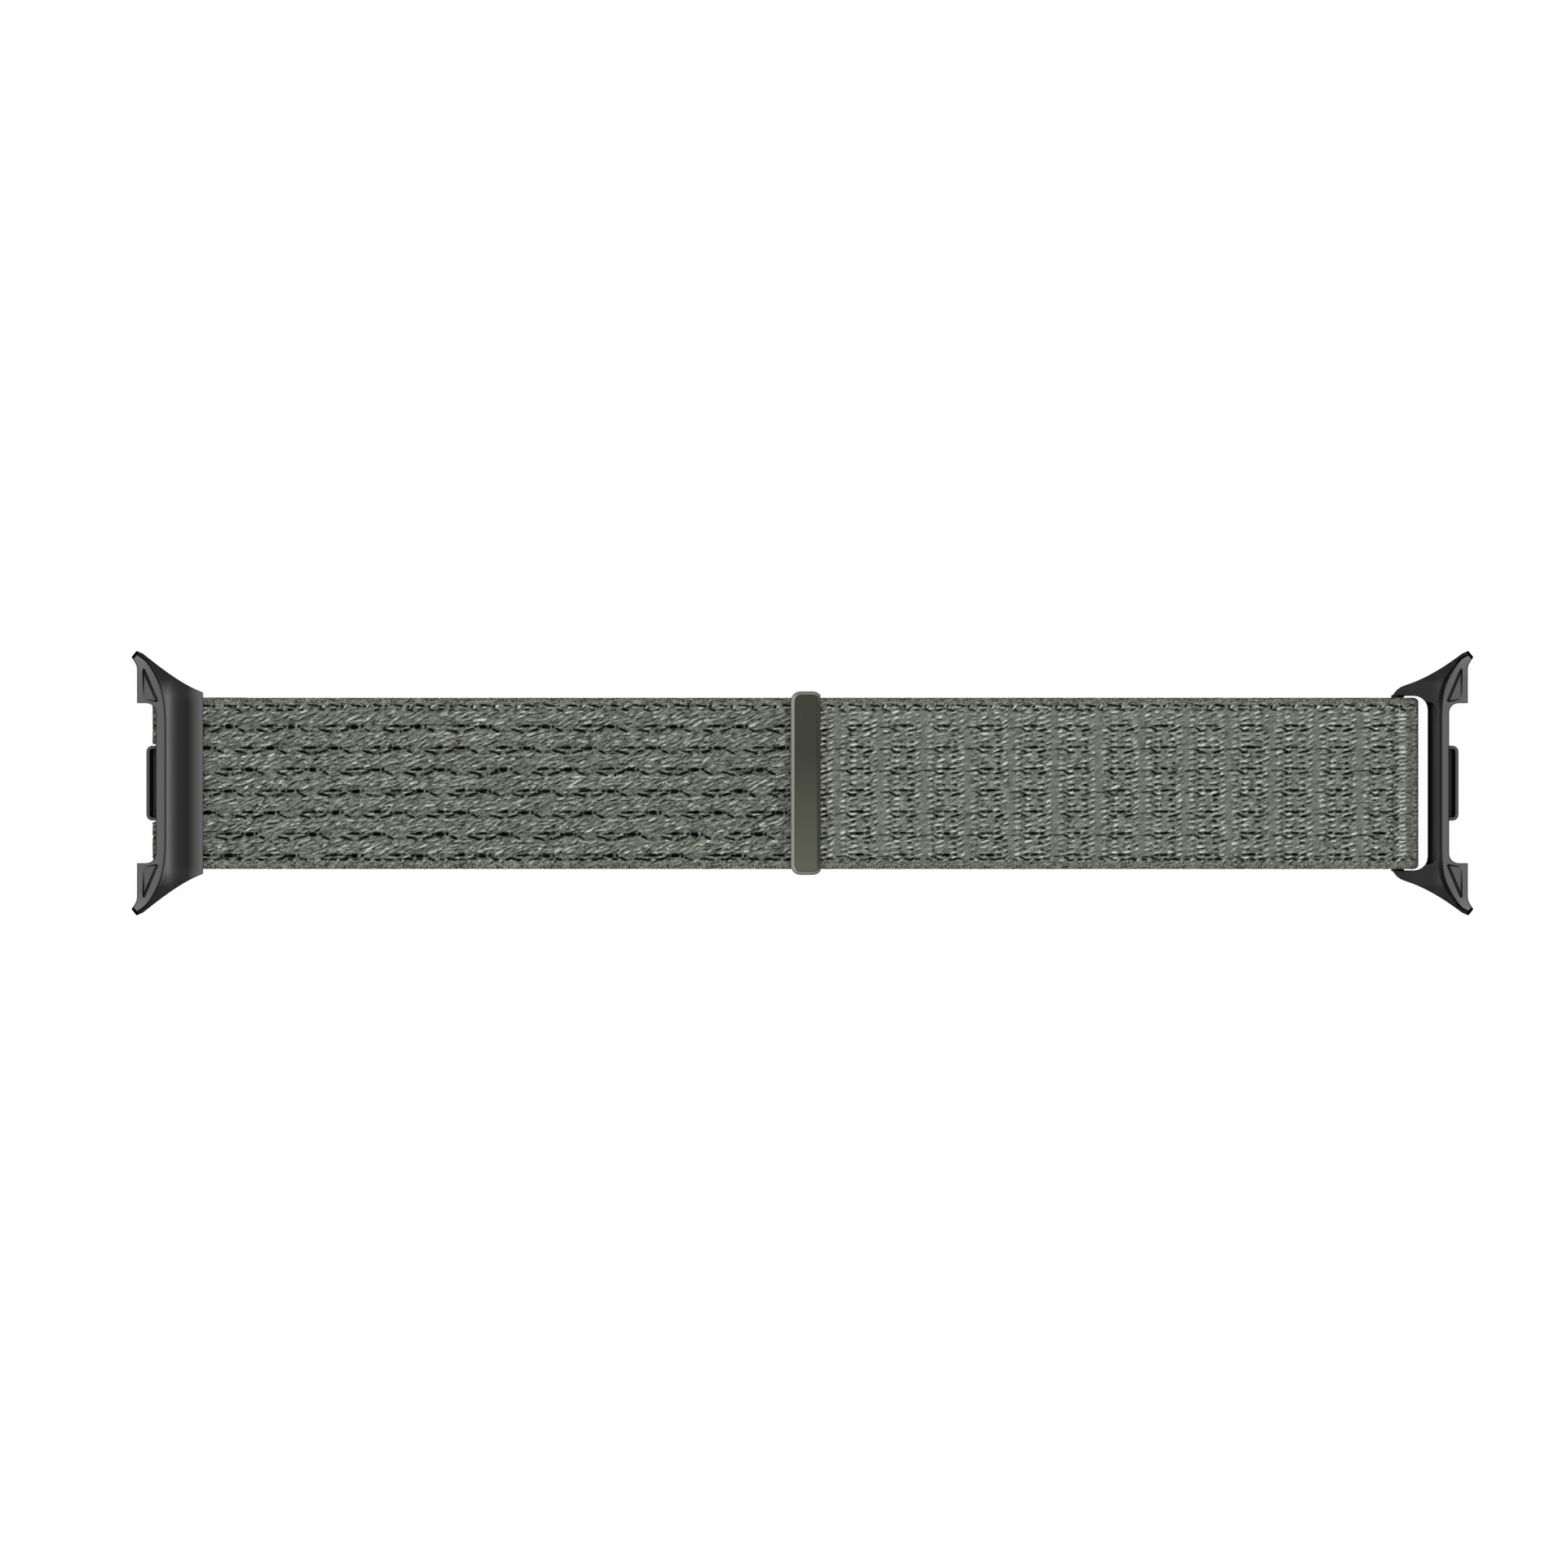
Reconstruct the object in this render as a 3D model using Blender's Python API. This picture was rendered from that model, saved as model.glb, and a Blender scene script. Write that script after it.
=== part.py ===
"""Nylon watch strap, closed and lying flat: webbing, two connectors and an end clasp.

Metres, +Z up. The strap runs along X and its outer face looks up. The origin lies under the
middle of the whole strap, on the surface that carries it.

Each connector is drawn in a frame of its own: X runs from the outer edge of its rim towards
the strap, Y across, and Z up from the table. The right connector is that frame turned round.
"""
import math

import bmesh
import bpy
from mathutils import Matrix, Vector

MM = 0.001

# Overall
RIM_SPAN = 151.4 * MM  # between the outer edges of the two rims

# Clearances
SEAT_GAP = 0.1 * MM  # between pieces that are fixed together
RUN_GAP = 0.1 * MM  # between pieces that slide
SIDE_GAP = 0.21 * MM  # webbing to cheek, each side
SWIVEL_GAP = 0.15 * MM  # latch block to the webbing's tabs
WELD = 0.001 * MM
OVERRUN = 1.0 * MM  # how far cutters run past the solid

# Webbing
WEB_WIDTH = 20.0 * MM
WEB_THICK = 1.5 * MM
TAIL_THICK = 1.1 * MM  # the webbing is pressed thinner round the pins
TAIL_LIFT = 0.15 * MM  # under the wrap
TAIL_SETTLE = 3.1 * MM  # length in which the underside comes down to the table
RISE_LENGTH = 11.7 * MM  # length in which the top comes down from the pins
TEAR_LENGTH = 2.1 * MM  # from the pins to where the two layers meet
FEED_GAP = 0.1 * MM  # between stretches of the same webbing
SETTLE_LENGTH = 24.6 * MM  # the return run comes down from the crossbar in this length
LOWER_SPLIT_SHARE = 0.165  # of the rim span, from the middle
RETURN_SPLIT_SHARE = 0.264

# Pins of the left end
PIN_RADIUS = 0.55 * MM
PIN_PLAY = 0.1 * MM
PIN_BACK = 1.3 * MM  # from the rim's edge
PIN_SEAT = 0.35 * MM  # in the latch block
PIN_CHEEK_SEAT = 0.85 * MM

# Connector outline in plan
HORN_REACH = 2.85 * MM
HORN_FLARE = 4.89 * MM  # horn tip past the cover's corner
HORN_FACE = 2.19 * MM
HORN_FACE_WIDTH = 3.49 * MM
HORN_INSET = 1.25 * MM  # the horn's inner side, in from the cover's corner
ROOT_FILLET = 1.1 * MM
HORN_KNEE = 0.95 * MM
TIP_FACE = 0.75 * MM  # the tip's slanted front, along Y
CHEEK_EDGE = 0.4 * MM  # cheek thickness at the cover's strap edge
COVER_DEPTH = 5.55 * MM
TIP_SHARES = ((-0.79, 1.0), (-0.52, 0.93))
LEFT_FLANK_SHARES = ((0.15, 0.552), (0.578, 0.178), (1.0, 0.0))
RIGHT_FLANK_SHARES = ((0.106, 0.589), (0.419, 0.327), (0.735, 0.186))
FLANK_STEPS = 10
RIGHT_CORNER = 2.15 * MM  # round outer corner of the right arms

# Connector heights
LEDGE_THICK = 0.75 * MM
STEP_HEIGHT = 1.0 * MM
STEP_BACK = 1.15 * MM
COVER_EDGE_THICK = 0.55 * MM
CREST_FLAT = 0.3 * MM
COVER_SWEEP_SHARE = 1.6  # above 1 the cover falls faster near its crest
RIDGE_HEIGHT = 0.8 * MM
RIDGE_BACK = 1.42 * MM
RIDGE_FOOT = 0.88 * MM
SCALLOP_STEP = 0.12 * MM
SCALLOP_DEPTH = 1.3 * MM
TIP_DROP = 1.2 * MM
TIP_LIFT = 1.9 * MM
TIP_CHAMFER = 0.27 * MM
TIP_FALL = 0.6 * MM
HORN_LIFT = 0.9 * MM
LEFT_LEDGE_SHARES = ((1.0, 0.68), (1.0, 1.07), (0.63, 1.28), (-0.99, 1.534))
LEFT_TIP_SHARES = ((-1.5, 1.583), (-1.86, 1.611))
RIGHT_LEDGE_SHARES = ((1.0, 0.68), (1.02, 1.11), (0.85, 1.24), (-1.35, 1.523))
RIGHT_TIP_SHARES = ((-1.67, 1.56), (-2.46, 1.603))
ARM_NOSE = 1.05 * MM  # radius of the arm's end, seen from the side
ARM_SWEEP = 80  # degrees, each way from the strap's direction
ARM_BOW_SHARE = 0.3  # at 0 the arm's top falls straight from the ridge to its end
CORNER_SWEEP = 75

# Triangular recess in each horn
RECESS_DEPTH = 0.2 * MM
GROOVE_DEPTH = 0.4 * MM
GROOVE_WIDTH = 0.14 * MM
GROOVE_SHARE = 0.3  # of its width, inside the recess
GROOVE_END_SHARE = 0.6
RECESS_FRONT = 1.48 * MM
RECESS_TIP = 0.17 * MM
RECESS_INSET = 0.17 * MM
RECESS_WIDTH = 3.88 * MM
RECESS_FOOT = 0.26 * MM

# Right slot and crossbar
BODY_DEPTH = 2.52 * MM
FOLD_ROOM = 1.13 * MM
FOLD_PLAY = 0.15 * MM
BAR_RADIUS = 0.75 * MM
SLOT_CORNER = 1.6 * MM
SCALLOP_HALF_SHARE = 0.70
SCALLOP_ARC_SHARES = ((0.0, 0.0), (0.05, 0.45), (0.2, 0.75), (0.4, 0.89), (0.6, 0.96),
                      (0.8, 0.985), (1.0, 1.0), (1.15, 1.0))
SCALLOP_REACH = 2.35 * MM

# Latch, alike in both connectors
LATCH_WIDTH = 8.78 * MM
TONGUE_REACH = 1.1 * MM
TONGUE_WALL = 0.36 * MM
TONGUE_TALL = 1.2 * MM
TONGUE_CORNER = 0.7 * MM
TRAY_LOW = 2.0 * MM
TRAY_FLOOR = 0.2 * MM
LEG_DEPTH = 0.5 * MM
BLOCK_SKIN = 0.11 * MM
BOLT_DEPTH = 1.45 * MM
BOLT_LIFT = 1.3 * MM
BOLT_TALL = 1.6 * MM
LIP_TALL = 0.55 * MM
LIP_DEPTH = 0.14 * MM
LIP_EDGE = 0.12 * MM
BLOCK_BACK_WALL = 0.6 * MM
SPRING_RADIUS = 0.42 * MM
SPRING_WIRE = 0.16 * MM
SPRING_PLAY = 0.08 * MM
SPRING_FLOOR = 0.25 * MM
SPRING_TURNS = 5
SPRING_TURN_STEPS = 8
SPRING_PLACE_SHARE = 0.69
BUTTON_LOW = 0.1 * MM
BUTTON_HALF = 0.45 * MM
BUTTON_LENGTH_SHARE = 0.5
BUTTON_FLANGE = 0.2 * MM
BUTTON_FLANGE_TALL = 0.28 * MM
BUTTON_STEPS = 6
PLATE_LOW = 0.3 * MM
PLATE_THICK = 0.55 * MM
PLATE_FRONT = 0.15 * MM
SCREW_RADIUS = 0.35 * MM
SCREW_PLAY = 0.05 * MM
SCREW_HEAD = 0.5 * MM
SCREW_HEAD_TALL = 0.22 * MM
SCREW_REACH = 1.3 * MM
SCREW_BACK = 1.0 * MM
SCREW_SLOT_WIDTH = 0.16 * MM
SCREW_SLOT_DEPTH = 0.12 * MM
NOTCH_GAP = 0.5 * MM

# Hook pad and end clasp
PAD_GAP = 0.2 * MM  # the pile of the lower run fills it
PAD_THICK = 0.4 * MM
PAD_SEAT = 0.05 * MM
PAD_LENGTH = 27.0 * MM
PAD_INSET = 1.5 * MM
PAD_CORNER = 2.0 * MM
RETURN_RUN = 67.54 * MM  # crossbar to the clasp's mouth
CLASP_LENGTH = 3.49 * MM
CLASP_WALL = 0.64 * MM
CLASP_SIDE_GAP = 0.1 * MM
CLASP_ROOM = 0.15 * MM
CLASP_TOP_THICK = 0.7 * MM
CLASP_SLIDE_GAP = 0.15 * MM
CLASP_CHAMFER = 0.45 * MM
CLASP_CORNER = 1.14 * MM
CLASP_MOUTH_SHARE = 0.79  # of the corner's radius, where the mouth cuts it
CLASP_LEAN = 0.07 * MM  # the top face lies nearer to the mouth
CLASP_PIN_RADIUS = 0.4 * MM
CLASP_PIN_PLAY = 0.1 * MM
CLASP_PIN_SHARE = 0.6
CLASP_PIN_SEAT = 0.3 * MM

# Facets
SHARP_ANGLE = 35  # degrees
ROUND_SIDES = 24
SMALL_SIDES = 16
CORNER_STEPS = 5
CURVE_STEPS = 10

# Sizes that follow
WEB_HALF = WEB_WIDTH / 2
CHEEK_HALF = WEB_HALF + SIDE_GAP
COVER_HALF = CHEEK_HALF + CHEEK_EDGE
TIP_HALF = COVER_HALF + HORN_FLARE
HORN_ROOT = COVER_HALF - HORN_INSET
RIM_X = RIM_SPAN / 2
WRAP_INNER = PIN_RADIUS + PIN_PLAY
WRAP_OUTER = WRAP_INNER + TAIL_THICK
PIN_HEIGHT = TAIL_LIFT + WRAP_OUTER
COVER_UNDER = PIN_HEIGHT + WRAP_OUTER + SEAT_GAP
LEDGE_TOP = COVER_UNDER + LEDGE_THICK
CREST_TOP = LEDGE_TOP + STEP_HEIGHT
RIDGE_TOP = LEDGE_TOP + RIDGE_HEIGHT
COVER_EDGE_TOP = COVER_UNDER + COVER_EDGE_THICK
FOLD_INNER = BAR_RADIUS + FOLD_PLAY
FOLD_OUTER = FOLD_INNER + WEB_THICK
FOLD_MIDDLE = FOLD_INNER + WEB_THICK / 2
BAR_HEIGHT = FOLD_OUTER
BAR_BACK = BODY_DEPTH + FOLD_ROOM + FOLD_OUTER
RIGHT_DEPTH = BAR_BACK + BAR_RADIUS
BAR_X = RIM_X - BAR_BACK
BLOCK_HALF = LATCH_WIDTH / 2 + RUN_GAP + BLOCK_SKIN
BLOCK_BACK = BOLT_DEPTH + RUN_GAP + BLOCK_BACK_WALL
PLATE_TOP = PLATE_LOW + PLATE_THICK
SCREW_HOLE = SCREW_RADIUS + SCREW_PLAY
POCKET_HALF = BLOCK_HALF - PIN_SEAT - 2 * SCREW_HOLE - 3 * SCREW_PLAY
SCREW_SIDE = POCKET_HALF + SCREW_HOLE + 2 * SCREW_PLAY
BOLT_HALF = POCKET_HALF - RUN_GAP
LIP_HALF = LATCH_WIDTH / 2 - TONGUE_WALL - RUN_GAP
BOLT_TOP = BOLT_LIFT + BOLT_TALL
TONGUE_TOP = COVER_UNDER - SEAT_GAP
SPRING_BORE = SPRING_RADIUS + SPRING_WIRE / 2 + SPRING_PLAY
SPRING_SIDE = BOLT_HALF * SPRING_PLACE_SHARE
SPRING_BACK = BOLT_DEPTH / 2
TAB_SIDE = BLOCK_HALF + SWIVEL_GAP
NOTCH_BACK = PIN_BACK + math.hypot(BLOCK_BACK - PIN_BACK, PIN_HEIGHT - PLATE_LOW) + NOTCH_GAP
LOWER_SPLIT = RIM_SPAN * LOWER_SPLIT_SHARE
RETURN_SPLIT = RIM_SPAN * RETURN_SPLIT_SHARE
RETURN_LOW = WEB_THICK + PAD_GAP + PAD_THICK + PAD_SEAT
RETURN_TOP = RETURN_LOW + WEB_THICK
CLASP_MOUTH = BAR_X - RETURN_RUN
CLASP_END = CLASP_MOUTH - CLASP_LENGTH
CLASP_HALF = WEB_HALF + CLASP_SIDE_GAP + CLASP_WALL
CLASP_CEILING = RETURN_TOP + CLASP_ROOM
CLASP_TOP = CLASP_CEILING + CLASP_TOP_THICK
CLASP_LOW = WEB_THICK + CLASP_SLIDE_GAP
CLASP_PIN_X = CLASP_MOUTH - CLASP_LENGTH / 2
CLASP_PIN_SIDE = WEB_HALF * CLASP_PIN_SHARE

# How a flat outline is turned into its plane
PLANES = {
    "XY": Matrix.Identity(4),
    "XZ": Matrix.Rotation(math.radians(90), 4, "X"),
    "YZ": Matrix(((0, 0, 1, 0), (1, 0, 0, 0), (0, 1, 0, 0), (0, 0, 0, 1))),
}

MATERIALS = {
    "webbing": ((0.115, 0.125, 0.098, 1.0), 0.85, 0.0),
    "hook_nylon": ((0.055, 0.06, 0.048, 1.0), 0.9, 0.0),
    "black_metal": ((0.022, 0.022, 0.023, 1.0), 0.42, 0.9),
    "steel": ((0.45, 0.45, 0.46, 1.0), 0.35, 1.0),
    "spring_steel": ((0.35, 0.35, 0.36, 1.0), 0.3, 1.0),
    "olive_metal": ((0.10, 0.105, 0.08, 1.0), 0.5, 0.6),
}


class Holder:
    """An empty on a joint's axis. Pieces drawn in a module's frame hang from it."""

    def __init__(self, name, seat, parent=None, shift=0, turn=0):
        self.seat = Vector(seat)
        self.empty = bpy.data.objects.new(name, None)
        self.empty.empty_display_size = WEB_THICK
        PART.objects.link(self.empty)
        if parent:
            self.empty.parent = parent.empty
            self.empty.location = self.seat - parent.seat
        else:
            rotation = Matrix.Rotation(turn, 3, "Z")
            self.empty.location = Vector((shift, 0, 0)) + rotation @ self.seat
            self.empty.rotation_euler = (0, 0, turn)


def clear_scene():
    """Remove what the file holds and make the two collections."""
    for obj in list(bpy.data.objects):
        bpy.data.objects.remove(obj, do_unlink=True)
    collections = []
    for name in ("nylon_watch_strap", "cutters"):
        collection = bpy.data.collections.new(name)
        bpy.context.scene.collection.children.link(collection)
        collections.append(collection)
    return collections


def material(name):
    """The named material, made once."""
    found = bpy.data.materials.get(name)
    if found:
        return found
    colour, roughness, metallic = MATERIALS[name]
    made = bpy.data.materials.new(name)
    made.use_nodes = True
    shader = made.node_tree.nodes["Principled BSDF"]
    shader.inputs["Base Color"].default_value = colour
    shader.inputs["Roughness"].default_value = roughness
    shader.inputs["Metallic"].default_value = metallic
    made.diffuse_color = colour
    return made


def ease(t):
    """Smooth step from 0 to 1 with level ends."""
    return (1 - math.cos(math.pi * t)) / 2


def arc(centre, radius, start, end, steps):
    """Points of an arc, angles in degrees."""
    points = []
    for i in range(steps + 1):
        angle = math.radians(start + (end - start) * i / steps)
        points.append((centre[0] + radius * math.cos(angle), centre[1] + radius * math.sin(angle)))
    return points


def bezier(a, b, c, d, steps):
    """Points of a cubic curve from a to d."""
    points = []
    for i in range(steps + 1):
        t = i / steps
        weights = ((1 - t) ** 3, 3 * t * (1 - t) ** 2, 3 * t * t * (1 - t), t ** 3)
        points.append(tuple(sum(w * p[k] for w, p in zip(weights, (a, b, c, d))) for k in (0, 1)))
    return points


def mirrored(half):
    """A closed outline from the half with Y above zero, listed from one end to the other."""
    return half + [(x, -y) for x, y in reversed(half) if y > 0]


def rounded_box(x_low, x_high, half, radius, far_radius):
    """Outline of a rectangle with round corners, one radius at each end."""
    outline = arc((x_low + radius, half - radius), radius, 180, 90, CORNER_STEPS)
    outline += arc((x_high - far_radius, half - far_radius), far_radius, 90, 0, CORNER_STEPS)
    return mirrored(outline)


def weld(mesh):
    """Join the loose caps of a converted curve."""
    work = bmesh.new()
    work.from_mesh(mesh)
    bmesh.ops.remove_doubles(work, verts=work.verts, dist=WELD)
    bmesh.ops.recalc_face_normals(work, faces=work.faces)
    work.to_mesh(mesh)
    work.free()


def prism(loops, low, high, plane="XY"):
    """Closed mesh of a flat outline with its holes, extruded from low to high."""
    curve = bpy.data.curves.new("outline", "CURVE")
    curve.dimensions = "2D"
    curve.fill_mode = "BOTH"
    curve.extrude = (high - low) / 2
    for loop in loops:
        spline = curve.splines.new("POLY")
        spline.points.add(len(loop) - 1)
        for point, place in zip(spline.points, loop):
            point.co = (place[0], place[1], 0, 1)
        spline.use_cyclic_u = True
    guide = bpy.data.objects.new("outline", curve)
    bpy.context.scene.collection.objects.link(guide)
    depsgraph = bpy.context.evaluated_depsgraph_get()
    mesh = bpy.data.meshes.new_from_object(guide.evaluated_get(depsgraph))
    bpy.data.objects.remove(guide)
    bpy.data.curves.remove(curve)
    middle = (low + high) / 2
    if plane == "XZ":
        middle = -middle
    mesh.transform(PLANES[plane] @ Matrix.Translation((0, 0, middle)))
    weld(mesh)
    return mesh


def cylinder(radius, place, length, axis="Z", sides=ROUND_SIDES):
    """Closed mesh of a cylinder that starts at place and runs along the axis."""
    work = bmesh.new()
    bmesh.ops.create_cone(work, cap_ends=True, segments=sides, radius1=radius, radius2=radius,
                          depth=length)
    mesh = bpy.data.meshes.new("cylinder")
    work.to_mesh(mesh)
    work.free()
    mesh.transform(Matrix.Translation((0, 0, length / 2)))
    if axis == "Y":
        mesh.transform(Matrix.Rotation(math.radians(-90), 4, "X"))
    mesh.transform(Matrix.Translation(place))
    return mesh


def joined(meshes):
    """One mesh of several separate cutters."""
    work = bmesh.new()
    for mesh in meshes:
        work.from_mesh(mesh)
    result = bpy.data.meshes.new("group")
    work.to_mesh(result)
    work.free()
    return result


def hang(obj, holder):
    """Parent an object to a holder, where its mesh is drawn."""
    if holder:
        obj.parent = holder.empty
        obj.location = -holder.seat


def piece(name, mesh, finish, holder=None):
    """A named solid of the object."""
    obj = bpy.data.objects.new(name, mesh)
    mesh.name = name
    mesh.materials.clear()
    mesh.materials.append(material(finish))
    PART.objects.link(obj)
    hang(obj, holder)
    return obj


def boolean(obj, mesh, operation, label, holder=None):
    """Cut, join or trim a piece with another closed mesh."""
    tool = bpy.data.objects.new(f"{obj.name}_{label}", mesh)
    tool.hide_render = True
    tool.display_type = "WIRE"
    CUTTERS.objects.link(tool)
    hang(tool, holder)
    modifier = obj.modifiers.new(label, "BOOLEAN")
    modifier.operation = operation
    modifier.solver = "EXACT"
    modifier.object = tool


def smooth_shading():
    """A node group that shades a solid smooth and keeps its sharp edges."""
    group = bpy.data.node_groups.new("smooth_by_angle", "GeometryNodeTree")
    group.interface.new_socket("Geometry", in_out="INPUT", socket_type="NodeSocketGeometry")
    group.interface.new_socket("Geometry", in_out="OUTPUT", socket_type="NodeSocketGeometry")
    start = group.nodes.new("NodeGroupInput")
    end = group.nodes.new("NodeGroupOutput")
    faces = group.nodes.new("GeometryNodeSetShadeSmooth")
    faces.domain = "FACE"
    faces.inputs["Shade Smooth"].default_value = True
    edges = group.nodes.new("GeometryNodeSetShadeSmooth")
    edges.domain = "EDGE"
    edges.inputs["Shade Smooth"].default_value = False
    angle = group.nodes.new("GeometryNodeInputMeshEdgeAngle")
    limit = group.nodes.new("FunctionNodeCompare")
    limit.operation = "GREATER_THAN"
    limit.inputs[1].default_value = math.radians(SHARP_ANGLE)
    group.links.new(start.outputs[0], faces.inputs["Geometry"])
    group.links.new(faces.outputs["Geometry"], edges.inputs["Geometry"])
    group.links.new(angle.outputs["Unsigned Angle"], limit.inputs[0])
    group.links.new(limit.outputs["Result"], edges.inputs["Selection"])
    group.links.new(edges.outputs["Geometry"], end.inputs[0])
    return group


def shade_pieces():
    """Shade every piece, after its cuts."""
    group = smooth_shading()
    for obj in PART.objects:
        if obj.type == "MESH":
            obj.modifiers.new("smooth_by_angle", "NODES").node_group = group


# Connector bodies

def flare_point(shares, depth):
    """A place in plan from shares of the depth, or of the horn's reach, and of the flare."""
    along = HORN_REACH if shares[0] < 0 else depth
    return (shares[0] * along, COVER_HALF + shares[1] * HORN_FLARE)


def horn_outline():
    """Half outline from the middle of the rim round the horn to its tip."""
    fillet = arc((-ROOT_FILLET, HORN_ROOT - ROOT_FILLET), ROOT_FILLET, 0, 90, CORNER_STEPS)
    half = [(0, 0)] + fillet
    half.append((-HORN_FACE, HORN_ROOT))
    bend = (-HORN_FACE, HORN_ROOT + HORN_FACE_WIDTH)
    tip = (-HORN_REACH, TIP_HALF - TIP_FACE)
    knee = (-HORN_FACE, HORN_ROOT + HORN_FACE_WIDTH + HORN_KNEE)
    half += bezier(bend, knee, knee, tip, CORNER_STEPS)
    return half + [flare_point(shares, COVER_DEPTH) for shares in TIP_SHARES]


def left_outline():
    """Plan of the left connector."""
    half = horn_outline()
    guides = [flare_point(shares, COVER_DEPTH) for shares in LEFT_FLANK_SHARES]
    half += bezier(half[-1], *guides, FLANK_STEPS)[1:]
    return mirrored(half + [(COVER_DEPTH, 0)])


def right_outline():
    """Plan of the right connector, with its round outer corners."""
    half = horn_outline()
    guides = [flare_point(shares, RIGHT_DEPTH) for shares in RIGHT_FLANK_SHARES]
    half += bezier(half[-1], *guides, FLANK_STEPS)[1:]
    centre = (RIGHT_DEPTH - RIGHT_CORNER, half[-1][1] - RIGHT_CORNER)
    half += arc(centre, RIGHT_CORNER, CORNER_SWEEP, 0, CORNER_STEPS)
    return mirrored(half + [(RIGHT_DEPTH, 0)])


def horn_underside():
    """Side profile of the underside, from the horn tips to the rim."""
    points = []
    for i in range(CURVE_STEPS + 1):
        t = i / CURVE_STEPS
        points.append((-HORN_REACH * (1 - t), HORN_LIFT * (1 - t) ** 2))
    points.insert(0, (-HORN_REACH - OVERRUN, HORN_LIFT))
    return points


def horn_topside(height):
    """Side profile of the top, from the rim back out to the horn tips."""
    points = [(-HORN_FACE / 2, height)]
    for i in range(1, CORNER_STEPS + 1):
        t = i / CORNER_STEPS
        points.append((-HORN_FACE / 2 - (HORN_REACH - HORN_FACE / 2) * t,
                       height - (height - LEDGE_TOP) * t * t))
    points.append((-HORN_REACH - OVERRUN, LEDGE_TOP))
    return points


def left_profile():
    """Side profile of the left connector, with the cover's long S-curve."""
    profile = horn_underside() + [(COVER_DEPTH + OVERRUN, 0)]
    profile.append((COVER_DEPTH + OVERRUN, COVER_EDGE_TOP))
    start = STEP_BACK + CREST_FLAT
    for i in range(CURVE_STEPS + 1):
        t = i / CURVE_STEPS
        x = COVER_DEPTH + (start - COVER_DEPTH) * t
        rise = ease(t ** COVER_SWEEP_SHARE)
        profile.append((x, COVER_EDGE_TOP + (CREST_TOP - COVER_EDGE_TOP) * rise))
    return profile + horn_topside(CREST_TOP)


def right_profile():
    """Side profile of the right connector, with a round nose at the crossbar."""
    profile = horn_underside() + [(BODY_DEPTH, 0)]
    nose = (RIGHT_DEPTH - ARM_NOSE, BAR_HEIGHT - (ARM_NOSE - BAR_RADIUS) / 2)
    profile += arc(nose, ARM_NOSE, -ARM_SWEEP, ARM_SWEEP, 2 * CORNER_STEPS)
    top = profile[-1]
    for i in range(1, CURVE_STEPS + 1):
        t = i / CURVE_STEPS
        rise = t + ARM_BOW_SHARE * (math.sin(t * math.pi / 2) - t)
        profile.append((top[0] + (RIDGE_BACK - top[0]) * t, top[1] + (RIDGE_TOP - top[1]) * rise))
    return profile + horn_topside(RIDGE_TOP)


def cross_profile(top):
    """Profile seen along the strap: level in the middle, drawn together at the tips."""
    low_side, high_side = [], []
    for i in range(CURVE_STEPS + 1):
        t = i / CURVE_STEPS
        y = HORN_ROOT + (TIP_HALF + OVERRUN - HORN_ROOT) * t
        high_side.append((y, top - (TIP_DROP + top - CREST_TOP) * t * t))
        low_side.append((y, TIP_LIFT * t * t))
    right = low_side + high_side[::-1]
    return right + [(-y, z) for y, z in reversed(right)]


def ledge_cutter(back, bend_shares, tip_shares, top_back):
    """What is above the ledge, up to a curved wall that leans back to the ridge."""
    half = bezier(*((along * back, across * HORN_ROOT) for along, across in bend_shares),
                  CURVE_STEPS)
    half += [(along * back, across * HORN_ROOT) for along, across in tip_shares]
    half.append((-HORN_REACH - OVERRUN, half[-1][1]))
    high = CREST_TOP + OVERRUN
    mesh = prism([mirrored(half)], LEDGE_TOP, high)
    lean = (top_back - back) * (high - LEDGE_TOP) / (RIDGE_TOP - LEDGE_TOP)
    for vertex in mesh.vertices:
        if vertex.co.z > (high + LEDGE_TOP) / 2:
            vertex.co.x += lean
    return mesh


def tip_cutter(side):
    """The slanted chamfer on a horn's tip."""
    low_end = Vector((-HORN_REACH, TIP_HALF - TIP_FACE))
    high_end = Vector(flare_point(TIP_SHARES[0], COVER_DEPTH))
    run = (high_end - low_end).normalized()
    outward = Vector((-run.y, run.x))
    start = low_end - TIP_CHAMFER * outward - TIP_CHAMFER * run
    end = high_end - TIP_CHAMFER * outward + TIP_CHAMFER * run
    reach = OVERRUN * outward

    def low_at(x, y):
        return LEDGE_TOP - TIP_FALL / TIP_CHAMFER * (Vector((x, y * side)) - start).dot(outward)

    outline = [(p.x, p.y * side) for p in (start, end, end + reach, start + reach)]
    return sloped_prism(outline, low_at, CREST_TOP + OVERRUN)


def sloped_prism(outline, low_at, high):
    """A prism whose underside follows a height given for each place."""
    mesh = prism([outline], 0, high)
    for vertex in mesh.vertices:
        if vertex.co.z < high / 2:
            vertex.co.z = low_at(vertex.co.x, vertex.co.y)
    return mesh


def recess_cutter(side):
    """The triangular recess in a horn, which ramps down to its long edge."""
    corner_y = HORN_ROOT + RECESS_INSET
    deep_far = (-RECESS_FRONT, corner_y + RECESS_WIDTH)
    deep_near = (RECESS_TIP, corner_y)
    foot = (-RECESS_FRONT, corner_y + RECESS_FOOT)
    run = Vector(deep_near) - Vector(deep_far)
    across = Vector((-run.y, run.x)).normalized()
    reach = (Vector(foot) - Vector(deep_far)).dot(across)

    def low_at(x, y):
        share = (Vector((x, y * side)) - Vector(deep_far)).dot(across) / reach
        return LEDGE_TOP - RECESS_DEPTH * (1 - share)

    outline = [(x, y * side) for x, y in (deep_far, deep_near, foot)]
    return sloped_prism(outline, low_at, CREST_TOP + OVERRUN)


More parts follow.
